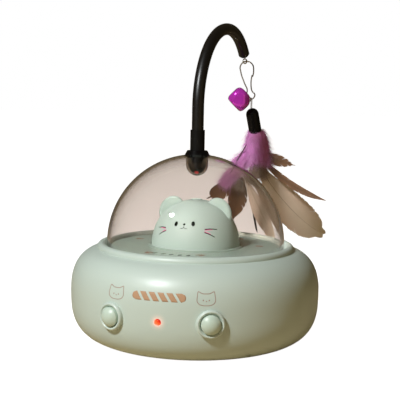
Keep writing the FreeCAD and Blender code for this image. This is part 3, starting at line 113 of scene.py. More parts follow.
class CatToyDome(bpy.types.PropertyGroup):
    # The dome's tint is partly a faint smoke in the plastic and partly painted: the warm room seen through
    # the dome.
    tint: colour_prop("Tint", "Tint of the clear plastic, partly painted from the warm room behind", (0.80, 0.745, 0.71))
    # The edge tone is partly the longer path through the tinted wall and partly a painted dark reflection
    # along the dome's rim.
    edge: colour_prop("Edge", "Tone where the plastic is seen edge on, partly a painted dark reflection", (0.30, 0.25, 0.22))
    wall: length_prop("Wall", "Wall of the dome", 2.0 * MM)
    pocket_gap: length_prop("Pocket gap", "Room round the wand holder", 0.15 * MM)
    pocket_wall: length_prop("Pocket wall", "Wall of the pocket", 1.3 * MM)
    steps: count_prop("Steps", "Steps round the dome", 144)


class CatToyLure(bpy.types.PropertyGroup):
    bell: colour_prop("Bell", "Lacquer of the jingle bell", (0.85, 0.05, 0.72))
    purple: colour_prop("Purple down", "Dyed down", (0.80, 0.26, 0.68))
    # Painted shade: the colour that the down takes on the side away from the key light.
    purple_painted_shade: colour_prop("Deep purple down", "Down painted darker as shade away from the key light", (0.60, 0.18, 0.38))
    fluff: colour_prop("Brown down", "Undyed down at the feathers' roots", (0.27, 0.19, 0.14))
    brown: colour_prop("Brown", "Brown feathers", (0.22, 0.115, 0.06))
    beige: colour_prop("Beige", "Beige feathers", (0.98, 0.74, 0.60))
    dark: colour_prop("Dark", "Darkest feathers", (0.055, 0.032, 0.022))
    strands: count_prop("Strands", "Strands of purple down", 9000)
    view_azimuth: angle_prop("Facing", "The azimuth that the lure's flat side faces", 15.2)


class CatToyStage(bpy.types.PropertyGroup):
    azimuth: angle_prop("Azimuth", "Camera azimuth from the front", 15.2)
    elevation: angle_prop("Elevation", "Camera height above the horizon", 10.96)
    roll: angle_prop("Roll", "Camera roll", 1.04)
    distance: length_prop("Distance", "From the camera to the point it circles", 0.75203)
    aim: length_prop("Aim", "Height of the point that the camera circles", 0.05)
    lens: plain_prop("Lens", "Focal length on a 36 mm sensor", 83.235)
    floor: colour_prop("Floor", "Warm pale floor, as the object sees it", (0.60, 0.46, 0.27))


class Wire:
    """A shader socket that takes part in Python sums."""

    def __init__(self, finish, socket):
        self.finish = finish
        self.socket = socket

    def sum(self, operation, *values):
        return self.finish.node("Math", {"operation": operation}, dict(enumerate(values)))

    def __add__(self, other):
        return self.sum("ADD", self, other)

    def __sub__(self, other):
        return self.sum("SUBTRACT", self, other)

    def __rsub__(self, other):
        return self.sum("SUBTRACT", other, self)

    def __mul__(self, other):
        return self.sum("MULTIPLY", self, other)

    def __truediv__(self, other):
        return self.sum("DIVIDE", self, other)

    def __pow__(self, other):
        return self.sum("POWER", self, other)

    __radd__ = __add__
    __rmul__ = __mul__

    def clamped(self):
        return self.finish.node("Clamp", {}, {0: self})


class Finish:
    """A material under construction round one Principled shader."""

    def __init__(self, name, **constants):
        self.material = bpy.data.materials.new(name)
        self.material.use_nodes = True
        self.tree = self.material.node_tree
        self.shader = self.tree.nodes["Principled BSDF"]
        self.set(**constants)

    def node(self, kind, settings, inputs, output=0):
        made = self.tree.nodes.new("ShaderNode" + kind)
        for key, value in settings.items():
            setattr(made, key, value)
        for key, value in inputs.items():
            self.feed(made.inputs[key], value)
        return Wire(self, made.outputs[output])

    def feed(self, socket, value):
        if isinstance(value, Wire):
            self.tree.links.new(value.socket, socket)
        elif socket.type == "RGBA":
            socket.default_value = (*value, 1)
        else:
            socket.default_value = value

    def set(self, **values):
        for key, value in values.items():
            self.feed(self.shader.inputs[key.replace("_", " ")], value)
        return self

    def place(self):
        return self.node("TexCoord", {}, {}, "Object")

    def noise(self, scale, detail=3.0, roughness=0.5):
        inputs = {"Scale": scale, "Detail": detail, "Roughness": roughness, "Vector": self.place()}
        return self.node("TexNoise", {}, inputs)

    def mix(self, factor, first, second):
        return self.node("Mix", {"data_type": "RGBA"}, {0: factor, 6: first, 7: second}, 2)

    def bump(self, height, strength, distance):
        return self.node("Bump", {}, {"Height": height, "Strength": strength, "Distance": distance})

    def split(self, vector):
        made = self.tree.nodes.new("ShaderNodeSeparateXYZ")
        self.feed(made.inputs[0], vector)
        return [Wire(self, out) for out in made.outputs]


def shaded(colour, factor):
    return tuple(min(1.0, c * factor) for c in colour)


def moulded(name, colour, roughness=0.46, grain=0.05, coat=0.3, level=0.5, halo=None):
    """Injection-moulded plastic: faint tone drift, a fine skin and a soft coat."""
    f = Finish(name, Coat_Weight=coat, Coat_Roughness=0.3, Specular_IOR_Level=level)
    drift = f.noise(14, 2)
    tone = f.mix(drift, shaded(colour, 0.965), shaded(colour, 1.03))
    skin = f.noise(2600, 2)
    f.set(Base_Color=tone, Roughness=f.noise(90, 3) * 0.07 + (roughness - 0.035),
          Normal=f.bump(skin, grain, 0.00004))
    # Painted glow: the status light's spill over the shell is emission in the shell's own finish.
    if halo:
        centre, reach, glow = halo
        away = f.node("VectorMath", {"operation": "DISTANCE"}, {0: f.place(), 1: centre}, "Value")
        lit = (1 - away / reach).clamped() ** 3
        f.set(Emission_Color=f.mix(lit, (0, 0, 0), glow), Emission_Strength=1.3)
    return f.material


def glossy_black(name, colour=(0.006, 0.005, 0.0045), roughness=0.28, smear=0.10, level=0.14):
    """Black plastic with faint handling marks in its gloss."""
    f = Finish(name, Base_Color=colour, Specular_IOR_Level=level)
    marks = f.noise(160, 5, 0.6)
    f.set(Roughness=marks * smear + (roughness - smear / 2), Normal=f.bump(f.noise(900, 2), 0.03, 0.00003))
    return f.material


def drawn_metal(name, colour, roughness=0.28, worn=0.12):
    """Drawn or stamped metal with slight tarnish."""
    f = Finish(name, Metallic=1.0)
    tarnish = f.noise(130, 3, 0.5)
    f.set(Base_Color=f.mix(tarnish, shaded(colour, 0.86), shaded(colour, 1.10)),
          Roughness=tarnish * worn + (roughness - worn / 2), Normal=f.bump(f.noise(3200, 2), 0.04, 0.00002))
    return f.material


def clear_tinted(name, tint, edge, roughness=0.002, ior=1.3):
    """Clear plastic, deeper in tone where it is seen edge on, that lets the lamps' light through."""
    f = Finish(name, Base_Color=tint, Transmission_Weight=1.0, IOR=ior)
    f.set(Roughness=f.noise(60, 4, 0.6) * 0.002 + (roughness - 0.001))
    # Seen edge on, the plastic turns to the edge tone; on the dome this is partly the longer path through
    # the tinted wall, partly a painted dark reflection along the rim.
    deep = f.node("BsdfRefraction", {}, {"Color": edge, "Roughness": 0.0, "IOR": ior})
    slant = f.node("LayerWeight", {}, {"Blend": 0.5}, "Facing")
    body = f.node("MixShader", {}, {0: (slant ** 7) * 0.35, 1: Wire(f, f.shader.outputs[0]), 2: deep})
    shadow = f.node("LightPath", {}, {}, "Is Shadow Ray")
    see_through = f.node("BsdfTransparent", {}, {"Color": (0.97, 0.965, 0.96)})
    mixed = f.node("MixShader", {}, {0: shadow, 1: body, 2: see_through})
    f.feed(f.tree.nodes["Material Output"].inputs["Surface"], mixed)
    return f.material


def printed(name, colour, gloss=0.42):
    """A printed layer with slightly uneven ink."""
    f = Finish(name, Specular_IOR_Level=0.2)
    ink = f.noise(1900, 3)
    f.set(Base_Color=f.mix(ink, shaded(colour, 0.9), shaded(colour, 1.1)),
          Roughness=ink * 0.1 + (gloss - 0.05))
    return f.material


def fibre(name, root, tip, deep=None, sheen=0.35, roughness=0.62):
    """Dyed down: each strand runs from its root's colour to its tip's; a deep colour, where given, is
    painted shade on the side away from the key light.
    """
    f = Finish(name, Sheen_Weight=sheen, Specular_IOR_Level=0.2)
    across, along, _ = f.split(f.node("UVMap", {"uv_map": "strand"}, {}))
    dye = f.noise(230, 3)
    tone = f.mix(along, root, tip)
    shade = f.mix(dye, shaded(root, 0.55), shaded(tip, 1.35))
    tone = f.mix(across * 0.5, tone, shade)
    # Painted shade: towards the side away from the key light the down is painted in the deep colour.
    if deep:
        x, _, z = f.split(f.place())
        start, colour = deep
        painted_shade_mask = ((x - start.x + (z - start.z) * 0.45) / (14 * MM) + dye * 0.8 - 0.4).clamped()
        tone = f.mix(painted_shade_mask * 0.85, tone, colour)
    f.set(Base_Color=tone, Roughness=across * 0.1 + (roughness - 0.05))
    return f.material


def vane_finish(name, base, edge, tip, bars=0.0, lined=0.35):
    """A feather's vane: paler or darker towards its edge and tip, with fine barb lines."""
    f = Finish(name, Sheen_Weight=0.25, Specular_IOR_Level=0.3)
    along, across, _ = f.split(f.node("UVMap", {"uv_map": "vane"}, {}))
    off_shaft = f.node("Math", {"operation": "ABSOLUTE"}, {0: across * 2 - 1})
    outer = f.mix(off_shaft ** 1.6, base, edge)
    ends = f.mix((along * 1.35 - 0.35).clamped() ** 2, outer, tip)
    lines = f.noise(1400, 2)
    patch = f.noise(75, 3)
    streaked = f.mix(lines * lined, ends, shaded(base, 0.55))
    mottled = f.mix((patch * 2 - 0.9).clamped() * (0.25 + bars), streaked, shaded(base, 0.5))
    f.set(Base_Color=mottled, Roughness=lines * 0.2 + 0.42, Normal=f.bump(lines, 0.25, 0.0001))
    return f.material


def mesh_of(bm, name):
    """Turns a bmesh into a mesh and frees it."""
    mesh = bpy.data.meshes.new(name)
    bm.to_mesh(mesh)
    bm.free()
    return mesh


def linked(name, data):
    """A new object in the scene."""
    made = bpy.data.objects.new(name, data)
    bpy.context.scene.collection.objects.link(made)
    return made


def dress(nodes, material):
    """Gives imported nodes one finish."""
    for name in nodes:
        mesh = frame["nodes"][name].data
        mesh.materials.clear()
        mesh.materials.append(material)


def piece(name, bm, body, materials, replaces=()):
    """Turns a bmesh into a piece that rides on a body."""
    for face in bm.faces:
        face.smooth = True
    mesh = mesh_of(bm, name)
    for material in materials:
        mesh.materials.append(material)
    made = linked(name, mesh)
    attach(made, body)
    if replaces:
        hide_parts(*replaces)
    return made


def outward(azimuth):
    """The outward direction at an azimuth in degrees counted from the front."""
    return Vector((math.sin(math.radians(azimuth)), -math.cos(math.radians(azimuth)), 0))


def surface_of(*nodes):
    """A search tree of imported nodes, for laying prints on them."""
    bm = bmesh.new()
    for name in nodes:
        bm.from_mesh(frame["nodes"][name].data)
    tree = BVHTree.FromBMesh(bm)
    bm.free()
    return tree


class Wrap:
    """Lays flat sizes in metres on a round surface, about an azimuth and a height."""

    def __init__(self, tree, azimuth, height):
        self.tree = tree
        self.azimuth = azimuth
        self.height = height
        self.radius = self.hit(azimuth, height)[0].xy.length

    def hit(self, azimuth, height):
        away = outward(azimuth)
        place, normal, _, _ = self.tree.ray_cast(away * 0.2 + UP * height, -away)
        return place, normal

    def __call__(self, x, y, lift):
        place, normal = self.hit(self.azimuth + math.degrees(x / self.radius), self.height + y)
        return place + normal * lift


class Flat:
    """Lays flat sizes in metres on the deck, about an azimuth and a radius, up pointing outwards."""

    def __init__(self, azimuth, radius, turn=0.0):
        self.out = outward(azimuth + turn)
        self.side = UP.cross(self.out)
        self.centre = outward(azimuth) * radius + UP * DECK_TOP

    def __call__(self, x, y, lift):
        return self.centre - self.side * x - self.out * y + UP * lift


def lay(bm, place, thickness, sink=0.02 * MM):
    """Lays a flat bmesh on a surface and gives it the ink's thickness."""
    for vert in bm.verts:
        vert.co = place(vert.co.x, vert.co.y, -sink)
    bmesh.ops.recalc_face_normals(bm, faces=bm.faces)
    bm.normal_update()
    outwards = place(0, 0, 1 * MM) - place(0, 0, 0)
    bm.faces.ensure_lookup_table()
    if bm.faces[0].normal.dot(outwards) < 0:
        bmesh.ops.reverse_faces(bm, faces=bm.faces)
    bmesh.ops.solidify(bm, geom=bm.faces, thickness=-(thickness + sink))
    bmesh.ops.recalc_face_normals(bm, faces=bm.faces)


def ribbon(points, widths, closed=False):
    """A flat strip along a path of (x, y) points, with a width at each."""
    total = len(points)
    spans = total if closed else total - 1
    bm = bmesh.new()
    bmesh.ops.create_grid(bm, x_segments=spans, y_segments=2, size=1)
    for vert in bm.verts:
        index = round((vert.co.x + 1) / 2 * spans)
        here = Vector(points[index % total])
        after = Vector(points[(index + 1) % total] if closed else points[min(index + 1, total - 1)])
        before = Vector(points[(index - 1) % total] if closed else points[max(index - 1, 0)])
        along = (after - before).normalized()
        side = Vector((-along.y, along.x)) * vert.co.y * widths[index % total] / 2
        vert.co = (here.x + side.x, here.y + side.y, 0)
    if closed:
        bmesh.ops.remove_doubles(bm, verts=bm.verts, dist=1e-7)
    return bm


def rounded(points, closed=True, steps=8):
    """A smooth path through (x, y) points in millimetres, given in metres."""
    count = len(points)
    path = []
    spans = count if closed else count - 1
    for i in range(spans):
        a, b, c, d = [Vector(points[(i + k) % count] if closed else points[min(max(i + k, 0), count - 1)])
                      for k in (-1, 0, 1, 2)]
        for k in range(steps):
            t = k / steps
            p = 0.5 * ((2 * b) + (c - a) * t + (2 * a - 5 * b + 4 * c - d) * t * t
                       + (3 * b - a - 3 * c + d) * t ** 3)
            path.append((p.x * MM, p.y * MM))
    if not closed:
        path.append((points[-1][0] * MM, points[-1][1] * MM))
    return path


def blob(width, height, segments=20, lean=0.0, x=0.0, y=0.0):
    """A filled oval in millimetres, as a flat bmesh in metres."""
    bm = bmesh.new()
    bmesh.ops.create_circle(bm, cap_ends=True, cap_tris=True, segments=segments, radius=1)
    bmesh.ops.subdivide_edges(bm, edges=bm.edges, cuts=1, use_grid_fill=True)
    turn = Matrix.Rotation(math.radians(lean), 2)
    for vert in bm.verts:
        p = turn @ Vector((vert.co.x * width / 2, vert.co.y * height / 2))
        vert.co = ((p.x + x) * MM, (p.y + y) * MM, 0)
    return bm


def merged(parts):
    """Several bmeshes as one."""
    whole = bmesh.new()
    for bm in parts:
        mesh = mesh_of(bm, "part")
        whole.from_mesh(mesh)
        bpy.data.meshes.remove(mesh)
    return whole


def sizes(name):
    return getattr(bpy.context.scene, name)


class Piece(bpy.types.Operator):
    """Makes one piece of the toy."""
    bl_idname = "cattoy.piece"
    bl_label = "Piece"

    def execute(self, context):
        self.make(context)
        return {"FINISHED"}


class CATTOY_OT_shells(Piece):
    """Moulded shells, deck, head, buttons and their collars"""
    bl_idname = "cattoy.shells"
    bl_label = "Mint shells"

    def make(self, context):
        p = sizes("cattoy_plastic")
        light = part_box("status_led")
        centre = Vector((0, light[0].y, (light[0].z + light[1].z) / 2))
        # Painted glow of the status light on the shell, given as emission round the light.
        halo = (centre, p.halo, (1.0, 0.34, 0.24))
        dress(["upper_shell", "lower_shell"],
              moulded("mint shell", p.mint, p.roughness, p.grain, halo=halo))
        # The deck gets the darker mint as painted shade under the dome.
        dress(["deck"], moulded("mint deck painted shade", p.deck_mint_painted_shade, p.roughness, p.grain))
        # The head gets the darker mint as painted shade under the dome.
        dress(["cat_head"], moulded("mint head painted shade", p.head_mint_painted_shade, p.roughness, p.grain, 0.04, 0.35))
        dress(["battery_door"], moulded("mint door", p.mint, p.roughness + 0.06, p.grain))
        dress(["button_cap_left", "button_cap_right"],
              moulded("mint button", p.button_mint, p.roughness - 0.06, p.grain * 0.6, 0.1))
        dress(["button_collar_left", "button_collar_right"],
              moulded("mint collar", shaded(p.mint, 1.04), p.roughness, p.grain))


class CATTOY_OT_light(Piece):
    """Red status light and the red window of the laser"""
    bl_idname = "cattoy.light"
    bl_label = "Lit parts"

    def make(self, context):
        p = sizes("cattoy_plastic")
        lamp = Finish("lit red lens", Base_Color=(0.6, 0.02, 0.01), Roughness=0.12, Emission_Strength=1.6)
        x, _, z = lamp.split(lamp.place())
        low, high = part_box("status_led")
        # Painted shadow: the light's glow is painted dark towards the upper right, where the rim of its
        # hole shades it.
        core = ((low.z + high.z) / 2 - x - z) / (3.2 * MM) + 0.55
        lamp.set(Emission_Color=lamp.mix(core.clamped(), shaded(p.glow, 0.10), p.glow))
        dress(["status_led"], lamp.material)
        window = Finish("laser window", Base_Color=(0.30, 0.005, 0.01), Roughness=0.08,
                        Emission_Strength=0.7)
        spot = window.noise(900, 1)
        window.set(Emission_Color=window.mix(spot, (0.9, 0.02, 0.03), (0.35, 0.0, 0.01)))
        dress(["laser_window"], window.material)


class CATTOY_OT_inner(Piece):
    """Gears, motor, boards, cells and fasteners inside the base"""
    bl_idname = "cattoy.inner"
    bl_label = "Inner works"

    def make(self, context):
        nylon = moulded("white nylon", (0.74, 0.73, 0.69), 0.45, 0.05, 0)
        steel = drawn_metal("zinc steel", (0.60, 0.60, 0.58), 0.32)
        board = moulded("green board", (0.015, 0.16, 0.06), 0.3, 0.08, 0.4)
        dress(["turntable_ring"], moulded("ring nylon", (0.16, 0.21, 0.17), 0.5, 0.05, 0))
        dress(["chassis", "laser_holder", "drive_gear", "reduction_gear", "motor_pinion"], nylon)
        dress(["gearbox_plate", "switch_body_left", "switch_body_right"],
              moulded("grey plastic", (0.09, 0.09, 0.095), 0.5, 0.06, 0))
        dress(["motor", "motor_shaft", "gear_axles", "battery_contacts", "case_screws", "chassis_screws",
               "small_screws", "motor_screws", "bell_pellet", "switch_plunger_left",
               "switch_plunger_right", "battery_springs"], steel)
        dress(["laser_module"], drawn_metal("turned brass", (0.72, 0.52, 0.22), 0.22))
        dress(["main_board", "switch_boards"], board)
        dress(["batteries"], self.cell_wrap())
        dress(["rubber_feet"], moulded("foot rubber", (0.03, 0.03, 0.03), 0.75, 0.5, 0))
        dress(["laser_mirror"], drawn_metal("mirror", (0.9, 0.9, 0.92), 0.05, 0.02))
        dress(["crown_lens"], clear_tinted("clear lens", (0.93, 0.95, 0.93), (0.7, 0.72, 0.7), 0.05))

    def cell_wrap(self):
        """Plain wrapped cells with a copper-coloured end."""
        f = Finish("cell wrap", Metallic=0.55, Coat_Weight=0.6)
        x = f.split(f.place())[0]
        band = f.node("Math", {"operation": "GREATER_THAN"}, {0: x, 1: 0.012})
        f.set(Base_Color=f.mix(band, (0.03, 0.035, 0.05), (0.48, 0.24, 0.10)),
              Roughness=f.noise(300, 3) * 0.1 + 0.25)
        return f.material


class CATTOY_OT_bar(Piece):
    """Striped bar and the two cat outlines printed over the buttons"""
    bl_idname = "cattoy.bar"
    bl_label = "Front prints"

    HALF_LENGTH = 20.2
    HALF_HEIGHT = 3.1
    SEGMENTS = 6
    GAP = 2.2
    LEAN = 4.2
    HEIGHT = 54.3
    OUTLINE = ((-5.9, 4.7), (-4.9, 4.6), (-2.6, 3.55), (0.0, 3.4), (2.6, 3.55), (4.9, 4.6), (5.9, 4.7),
               (6.35, 2.0), (6.6, -1.5), (5.2, -3.7), (2.5, -4.7), (0.0, -4.85), (-2.5, -4.7), (-5.2, -3.7),
               (-6.6, -1.5), (-6.35, 2.0))
    ICON_AZIMUTH = 20.0
    ICON_HEIGHT = 54.2
    LINE = 0.5

    def make(self, context):
        ink = sizes("cattoy_print")
        tree = surface_of("upper_shell")
        bar = []
        for index in range(self.SEGMENTS):
            bm = self.segment(index)
            lay(bm, Wrap(tree, 0, self.HEIGHT * MM), ink.thickness)
            bar.append(bm)
        piece("striped_bar", merged(bar), "base", [printed("stripe ink", ink.stripe)])
        for side, name in ((-1, "left"), (1, "right")):
            self.icon(tree, side, name, ink)

    def segment(self, index):
        """One slanted block of the bar, its outer end round on the first and last."""
        pitch = 2 * self.HALF_LENGTH / self.SEGMENTS
        low = -self.HALF_LENGTH + pitch * index + (self.GAP / 2 if index else 0)
        high = -self.HALF_LENGTH + pitch * (index + 1) - (self.GAP / 2 if index < self.SEGMENTS - 1 else 0)
        bm = bmesh.new()
        bmesh.ops.create_grid(bm, x_segments=6, y_segments=6, size=1)
        for vert in bm.verts:
            u, v = (vert.co.x + 1) / 2, vert.co.y
            round_off = self.HALF_HEIGHT * (1 - math.sqrt(max(0.0, 1 - v * v)))
            start = low + (round_off if index == 0 else -v * self.LEAN / 2)
            end = high - (round_off if index == self.SEGMENTS - 1 else v * self.LEAN / 2)
            vert.co = ((start + (end - start) * u) * MM, v * self.HALF_HEIGHT * MM, 0)
        bmesh.ops.remove_doubles(bm, verts=bm.verts, dist=1e-6)
        return bm

    def icon(self, tree, side, name, ink):
        place = Wrap(tree, side * self.ICON_AZIMUTH, self.ICON_HEIGHT * MM)
        path = rounded(self.OUTLINE)
        parts = [ribbon(path, [self.LINE * MM] * len(path), closed=True)]
        parts += [blob(0.95, 1.15, 10, 0, x, -1.1) for x in (-2.1, 2.1)]
        parts.append(blob(0.9, 0.9, 10, 0, 0.1, -1.8))
        for bm in parts:
            lay(bm, place, ink.thickness)
        piece("cat_outline_" + name, merged(parts), "base",
              [printed("outline ink " + name, ink.outline)])


class CATTOY_OT_deck_prints(Piece):
    """Small paw prints and dots on the deck"""
    bl_idname = "cattoy.deck_prints"
    bl_label = "Deck prints"

    PAWS = ((-26.8, 54.8), (20.4, 50.5), (105.2, 52.8), (-107.0, 57.0), (150.0, 55.0), (-150.0, 54.0))
    DOTS = (-21.7, -12.9, -5.6, 2.1, 9.4)
    DOT_RADIUS = 51.5

    def make(self, context):
        ink = sizes("cattoy_print")
        paws = []
        for azimuth, radius in self.PAWS:
            place = Flat(azimuth, radius * MM, 12 * math.sin(azimuth))
            pads = [blob(4.6, 3.8, 16)]
            for k, (x, y) in enumerate(((-3.1, 2.2), (-1.15, 3.5), (1.15, 3.5), (3.1, 2.2))):
                pads.append(blob(1.55, 2.2, 10, (k - 1.5) * -14, x, y))
            for bm in pads:
                lay(bm, place, ink.thickness)
            paws += pads
        piece("deck_paws", merged(paws), "base", [printed("paw ink", ink.paw)])
        dots = []
        for azimuth in self.DOTS:
            bm = blob(3.0, 5.4, 12, 10)
            lay(bm, Flat(azimuth, self.DOT_RADIUS * MM), ink.thickness)
            dots.append(bm)
        piece("deck_dots", merged(dots), "base", [printed("dot ink", (0.012, 0.02, 0.016))])


class CATTOY_OT_face(Piece):
    """Eyes, nose, mouth and whiskers on the head"""
    bl_idname = "cattoy.face"
    bl_label = "Face"

    CENTRE = -2.2
    EYES = ((-15.2, 20.4), (11.0, 21.1))
    EYE_SIZE = (2.8, 3.5)
    NOSE = 20.3
    WHISKERS = (((-47.9, 16.0), (-31.8, 16.9)), ((-41.5, 11.0), (-29.5, 14.7)),
                ((45.7, 16.8), (27.5, 17.2)), ((40.5, 11.2), (26.8, 14.9)))

    def make(self, context):
        ink = sizes("cattoy_print")
        tree = surface_of("cat_head")
        dark = printed("face ink", ink.face, 0.25)
        eyes = []
        for azimuth, height in self.EYES:
            bm = blob(*self.EYE_SIZE, 24)
            lay(bm, Wrap(tree, azimuth, DECK_TOP + height * MM), ink.thickness * 2)
            eyes.append(bm)
        piece("eyes", merged(eyes), "base", [dark])
        place = Wrap(tree, self.CENTRE, DECK_TOP + self.NOSE * MM)
        nose = blob(2.0, 1.3, 14, 0, 0, 0.2)
        mouth = rounded(((-2.6, -2.8), (-1.5, -2.95), (-0.5, -2.5), (0.0, -1.9), (0.5, -2.5), (1.5, -2.95),
                         (2.6, -2.7)), closed=False)
        lip = ribbon(mouth, [0.32 * MM] * len(mouth))
        stem = rounded(((0, 0), (0, -1.0), (0, -2.0)), closed=False)
        line = ribbon(stem, [0.32 * MM] * len(stem))
        for bm in (nose, lip, line):
            lay(bm, place, ink.thickness)
        piece("nose_and_mouth", merged([nose, lip, line]), "base", [dark])
        self.whiskers(tree, ink, dark)

    def whiskers(self, tree, ink, dark):
        lines, blushes = [], []
        for index, (outer, inner) in enumerate(self.WHISKERS):
            azimuth = (outer[0] + inner[0]) / 2
            height = (outer[1] + inner[1]) / 2
            place = Wrap(tree, azimuth, DECK_TOP + height * MM)
            reach = place.radius / MM
            ends = [(math.radians(p[0] - azimuth) * reach, p[1] - height) for p in (inner, outer)]
            middle = ((ends[0][0] + ends[1][0]) / 2, (ends[0][1] + ends[1][1]) / 2 + 0.35)
            path = rounded((ends[0], middle, ends[1]), closed=False)
            count = len(path)
            bm = ribbon(path, [MM * (0.72 - 0.16 * i / count) for i in range(count)])
            lay(bm, place, ink.thickness)
            lines.append(bm)
            part = path[:int(count * 0.7)]
            between = 0.6 * MM if index % 2 else -0.6 * MM
            low = [(x, y + between) for x, y in part]
            bm = ribbon(low, [MM * (0.8 - 0.5 * i / len(low)) for i in range(len(low))])
            lay(bm, place, ink.thickness * 0.7)
            blushes.append(bm)
        piece("whiskers", merged(lines), "base", [dark])
        piece("whisker_blush", merged(blushes), "base", [printed("blush ink", ink.blush)])


def arc_points(centre, radius, start, end, count):
    """Points of a turned profile along an arc, as (radius, height), both ends included."""
    return [(centre[0] + radius * math.cos(math.radians(start + (end - start) * i / (count - 1))),
             centre[1] + radius * math.sin(math.radians(start + (end - start) * i / (count - 1))))
            for i in range(count)]


def spin_profile(points, steps, closed=True):
    """A bmesh that a profile of (radius, height) points sweeps round the upright axis."""
    bm = bmesh.new()
    verts = [bm.verts.new((r, 0, z)) for r, z in points]
    edges = [bm.edges.new(pair) for pair in zip(verts, verts[1:])]
    if closed:
        edges.append(bm.edges.new((verts[-1], verts[0])))
    bmesh.ops.spin(bm, geom=verts + edges, cent=(0, 0, 0), axis=(0, 0, 1), angle=2 * math.pi,
                   steps=steps, use_merge=True)
    bmesh.ops.remove_doubles(bm, verts=bm.verts, dist=1e-6)
    bmesh.ops.recalc_face_normals(bm, faces=bm.faces)
    return bm


class CATTOY_OT_dome(Piece):
    """Clear dome with the pocket for the wand holder"""
    bl_idname = "cattoy.dome"
    bl_label = "Clear dome"

    HOLDER_RADIUS = 7.3 * MM
    EDGE_NICK = 0.35 * MM

    def make(self, context):
        d = sizes("cattoy_dome")
        low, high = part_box("clear_dome")
        radius = high.x
        inner = radius - d.wall
        holder_low, holder_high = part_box("wand_holder")
        foot = low.z
        holder_r = self.HOLDER_RADIUS
        holder_z = holder_low.z + holder_r
        pocket = holder_r + d.pocket_gap
        back = pocket + d.pocket_wall
        centre_z = high.z - math.sqrt(radius ** 2 - pocket ** 2)
        rim = math.degrees(math.acos(pocket / radius))
        root = math.degrees(math.acos(back / inner))
        outside = arc_points((0, centre_z), radius, 0, rim, 60)
        hollow = arc_points((0, holder_z), pocket, 0, -90, 14)
        under = arc_points((0, holder_z), back, -90, 0, 14)
        inside = arc_points((0, centre_z), inner, root, 0, 60)
        nick = self.EDGE_NICK
        points = [(inner + nick, foot), (radius - nick, foot), (radius, foot + nick)] + outside[:-1]
        points += [(pocket + nick, outside[-1][1]), (pocket, outside[-1][1] - nick)] + hollow
        points += under + inside + [(inner, foot + nick)]
        bm = spin_profile(points, d.steps)
        # The dome's tint is partly a faint smoke and partly painted: the warm room seen through it.
        piece("dome", bm, "dome", [clear_tinted("clear dome", d.tint, d.edge)],
              ["clear_dome"])


class CATTOY_OT_wand(Piece):
    """Wand, its ferrule and the holder in the dome"""
    bl_idname = "cattoy.wand"
    bl_label = "Wand"

    def make(self, context):
        dress(["wand_tube"], glossy_black("wand black", (0.0045, 0.0035, 0.003), 0.36, 0.10, 0.5))
        dress(["wand_sleeve"], glossy_black("ferrule black", (0.007, 0.0065, 0.006), 0.42, level=0.12))
        dress(["wand_holder"], glossy_black("holder black", (0.0035, 0.003, 0.003), 0.2, level=0.12))
        dress(["lure_cap"], glossy_black("cap black", (0.004, 0.0035, 0.0035), 0.22))


class CATTOY_OT_wires(Piece):
    """Snap hook, wire eye, bell link and the lure's thread"""
    bl_idname = "cattoy.wires"
    bl_label = "Hook and thread"

    def make(self, context):
        dress(["snap_hook"], drawn_metal("plated wire", (0.44, 0.38, 0.32), 0.35))
        dress(["wand_eye", "bell_loop"], drawn_metal("bright wire", (0.75, 0.76, 0.72), 0.3))
        f = Finish("pale thread", Sheen_Weight=0.3)
        lay_line = f.noise(2600, 2)
        f.set(Base_Color=f.mix(lay_line, (0.40, 0.40, 0.38), (0.72, 0.72, 0.70)),
              Roughness=lay_line * 0.2 + 0.6, Normal=f.bump(lay_line, 0.6, 0.0002))
        dress(["lure_thread"], f.material)


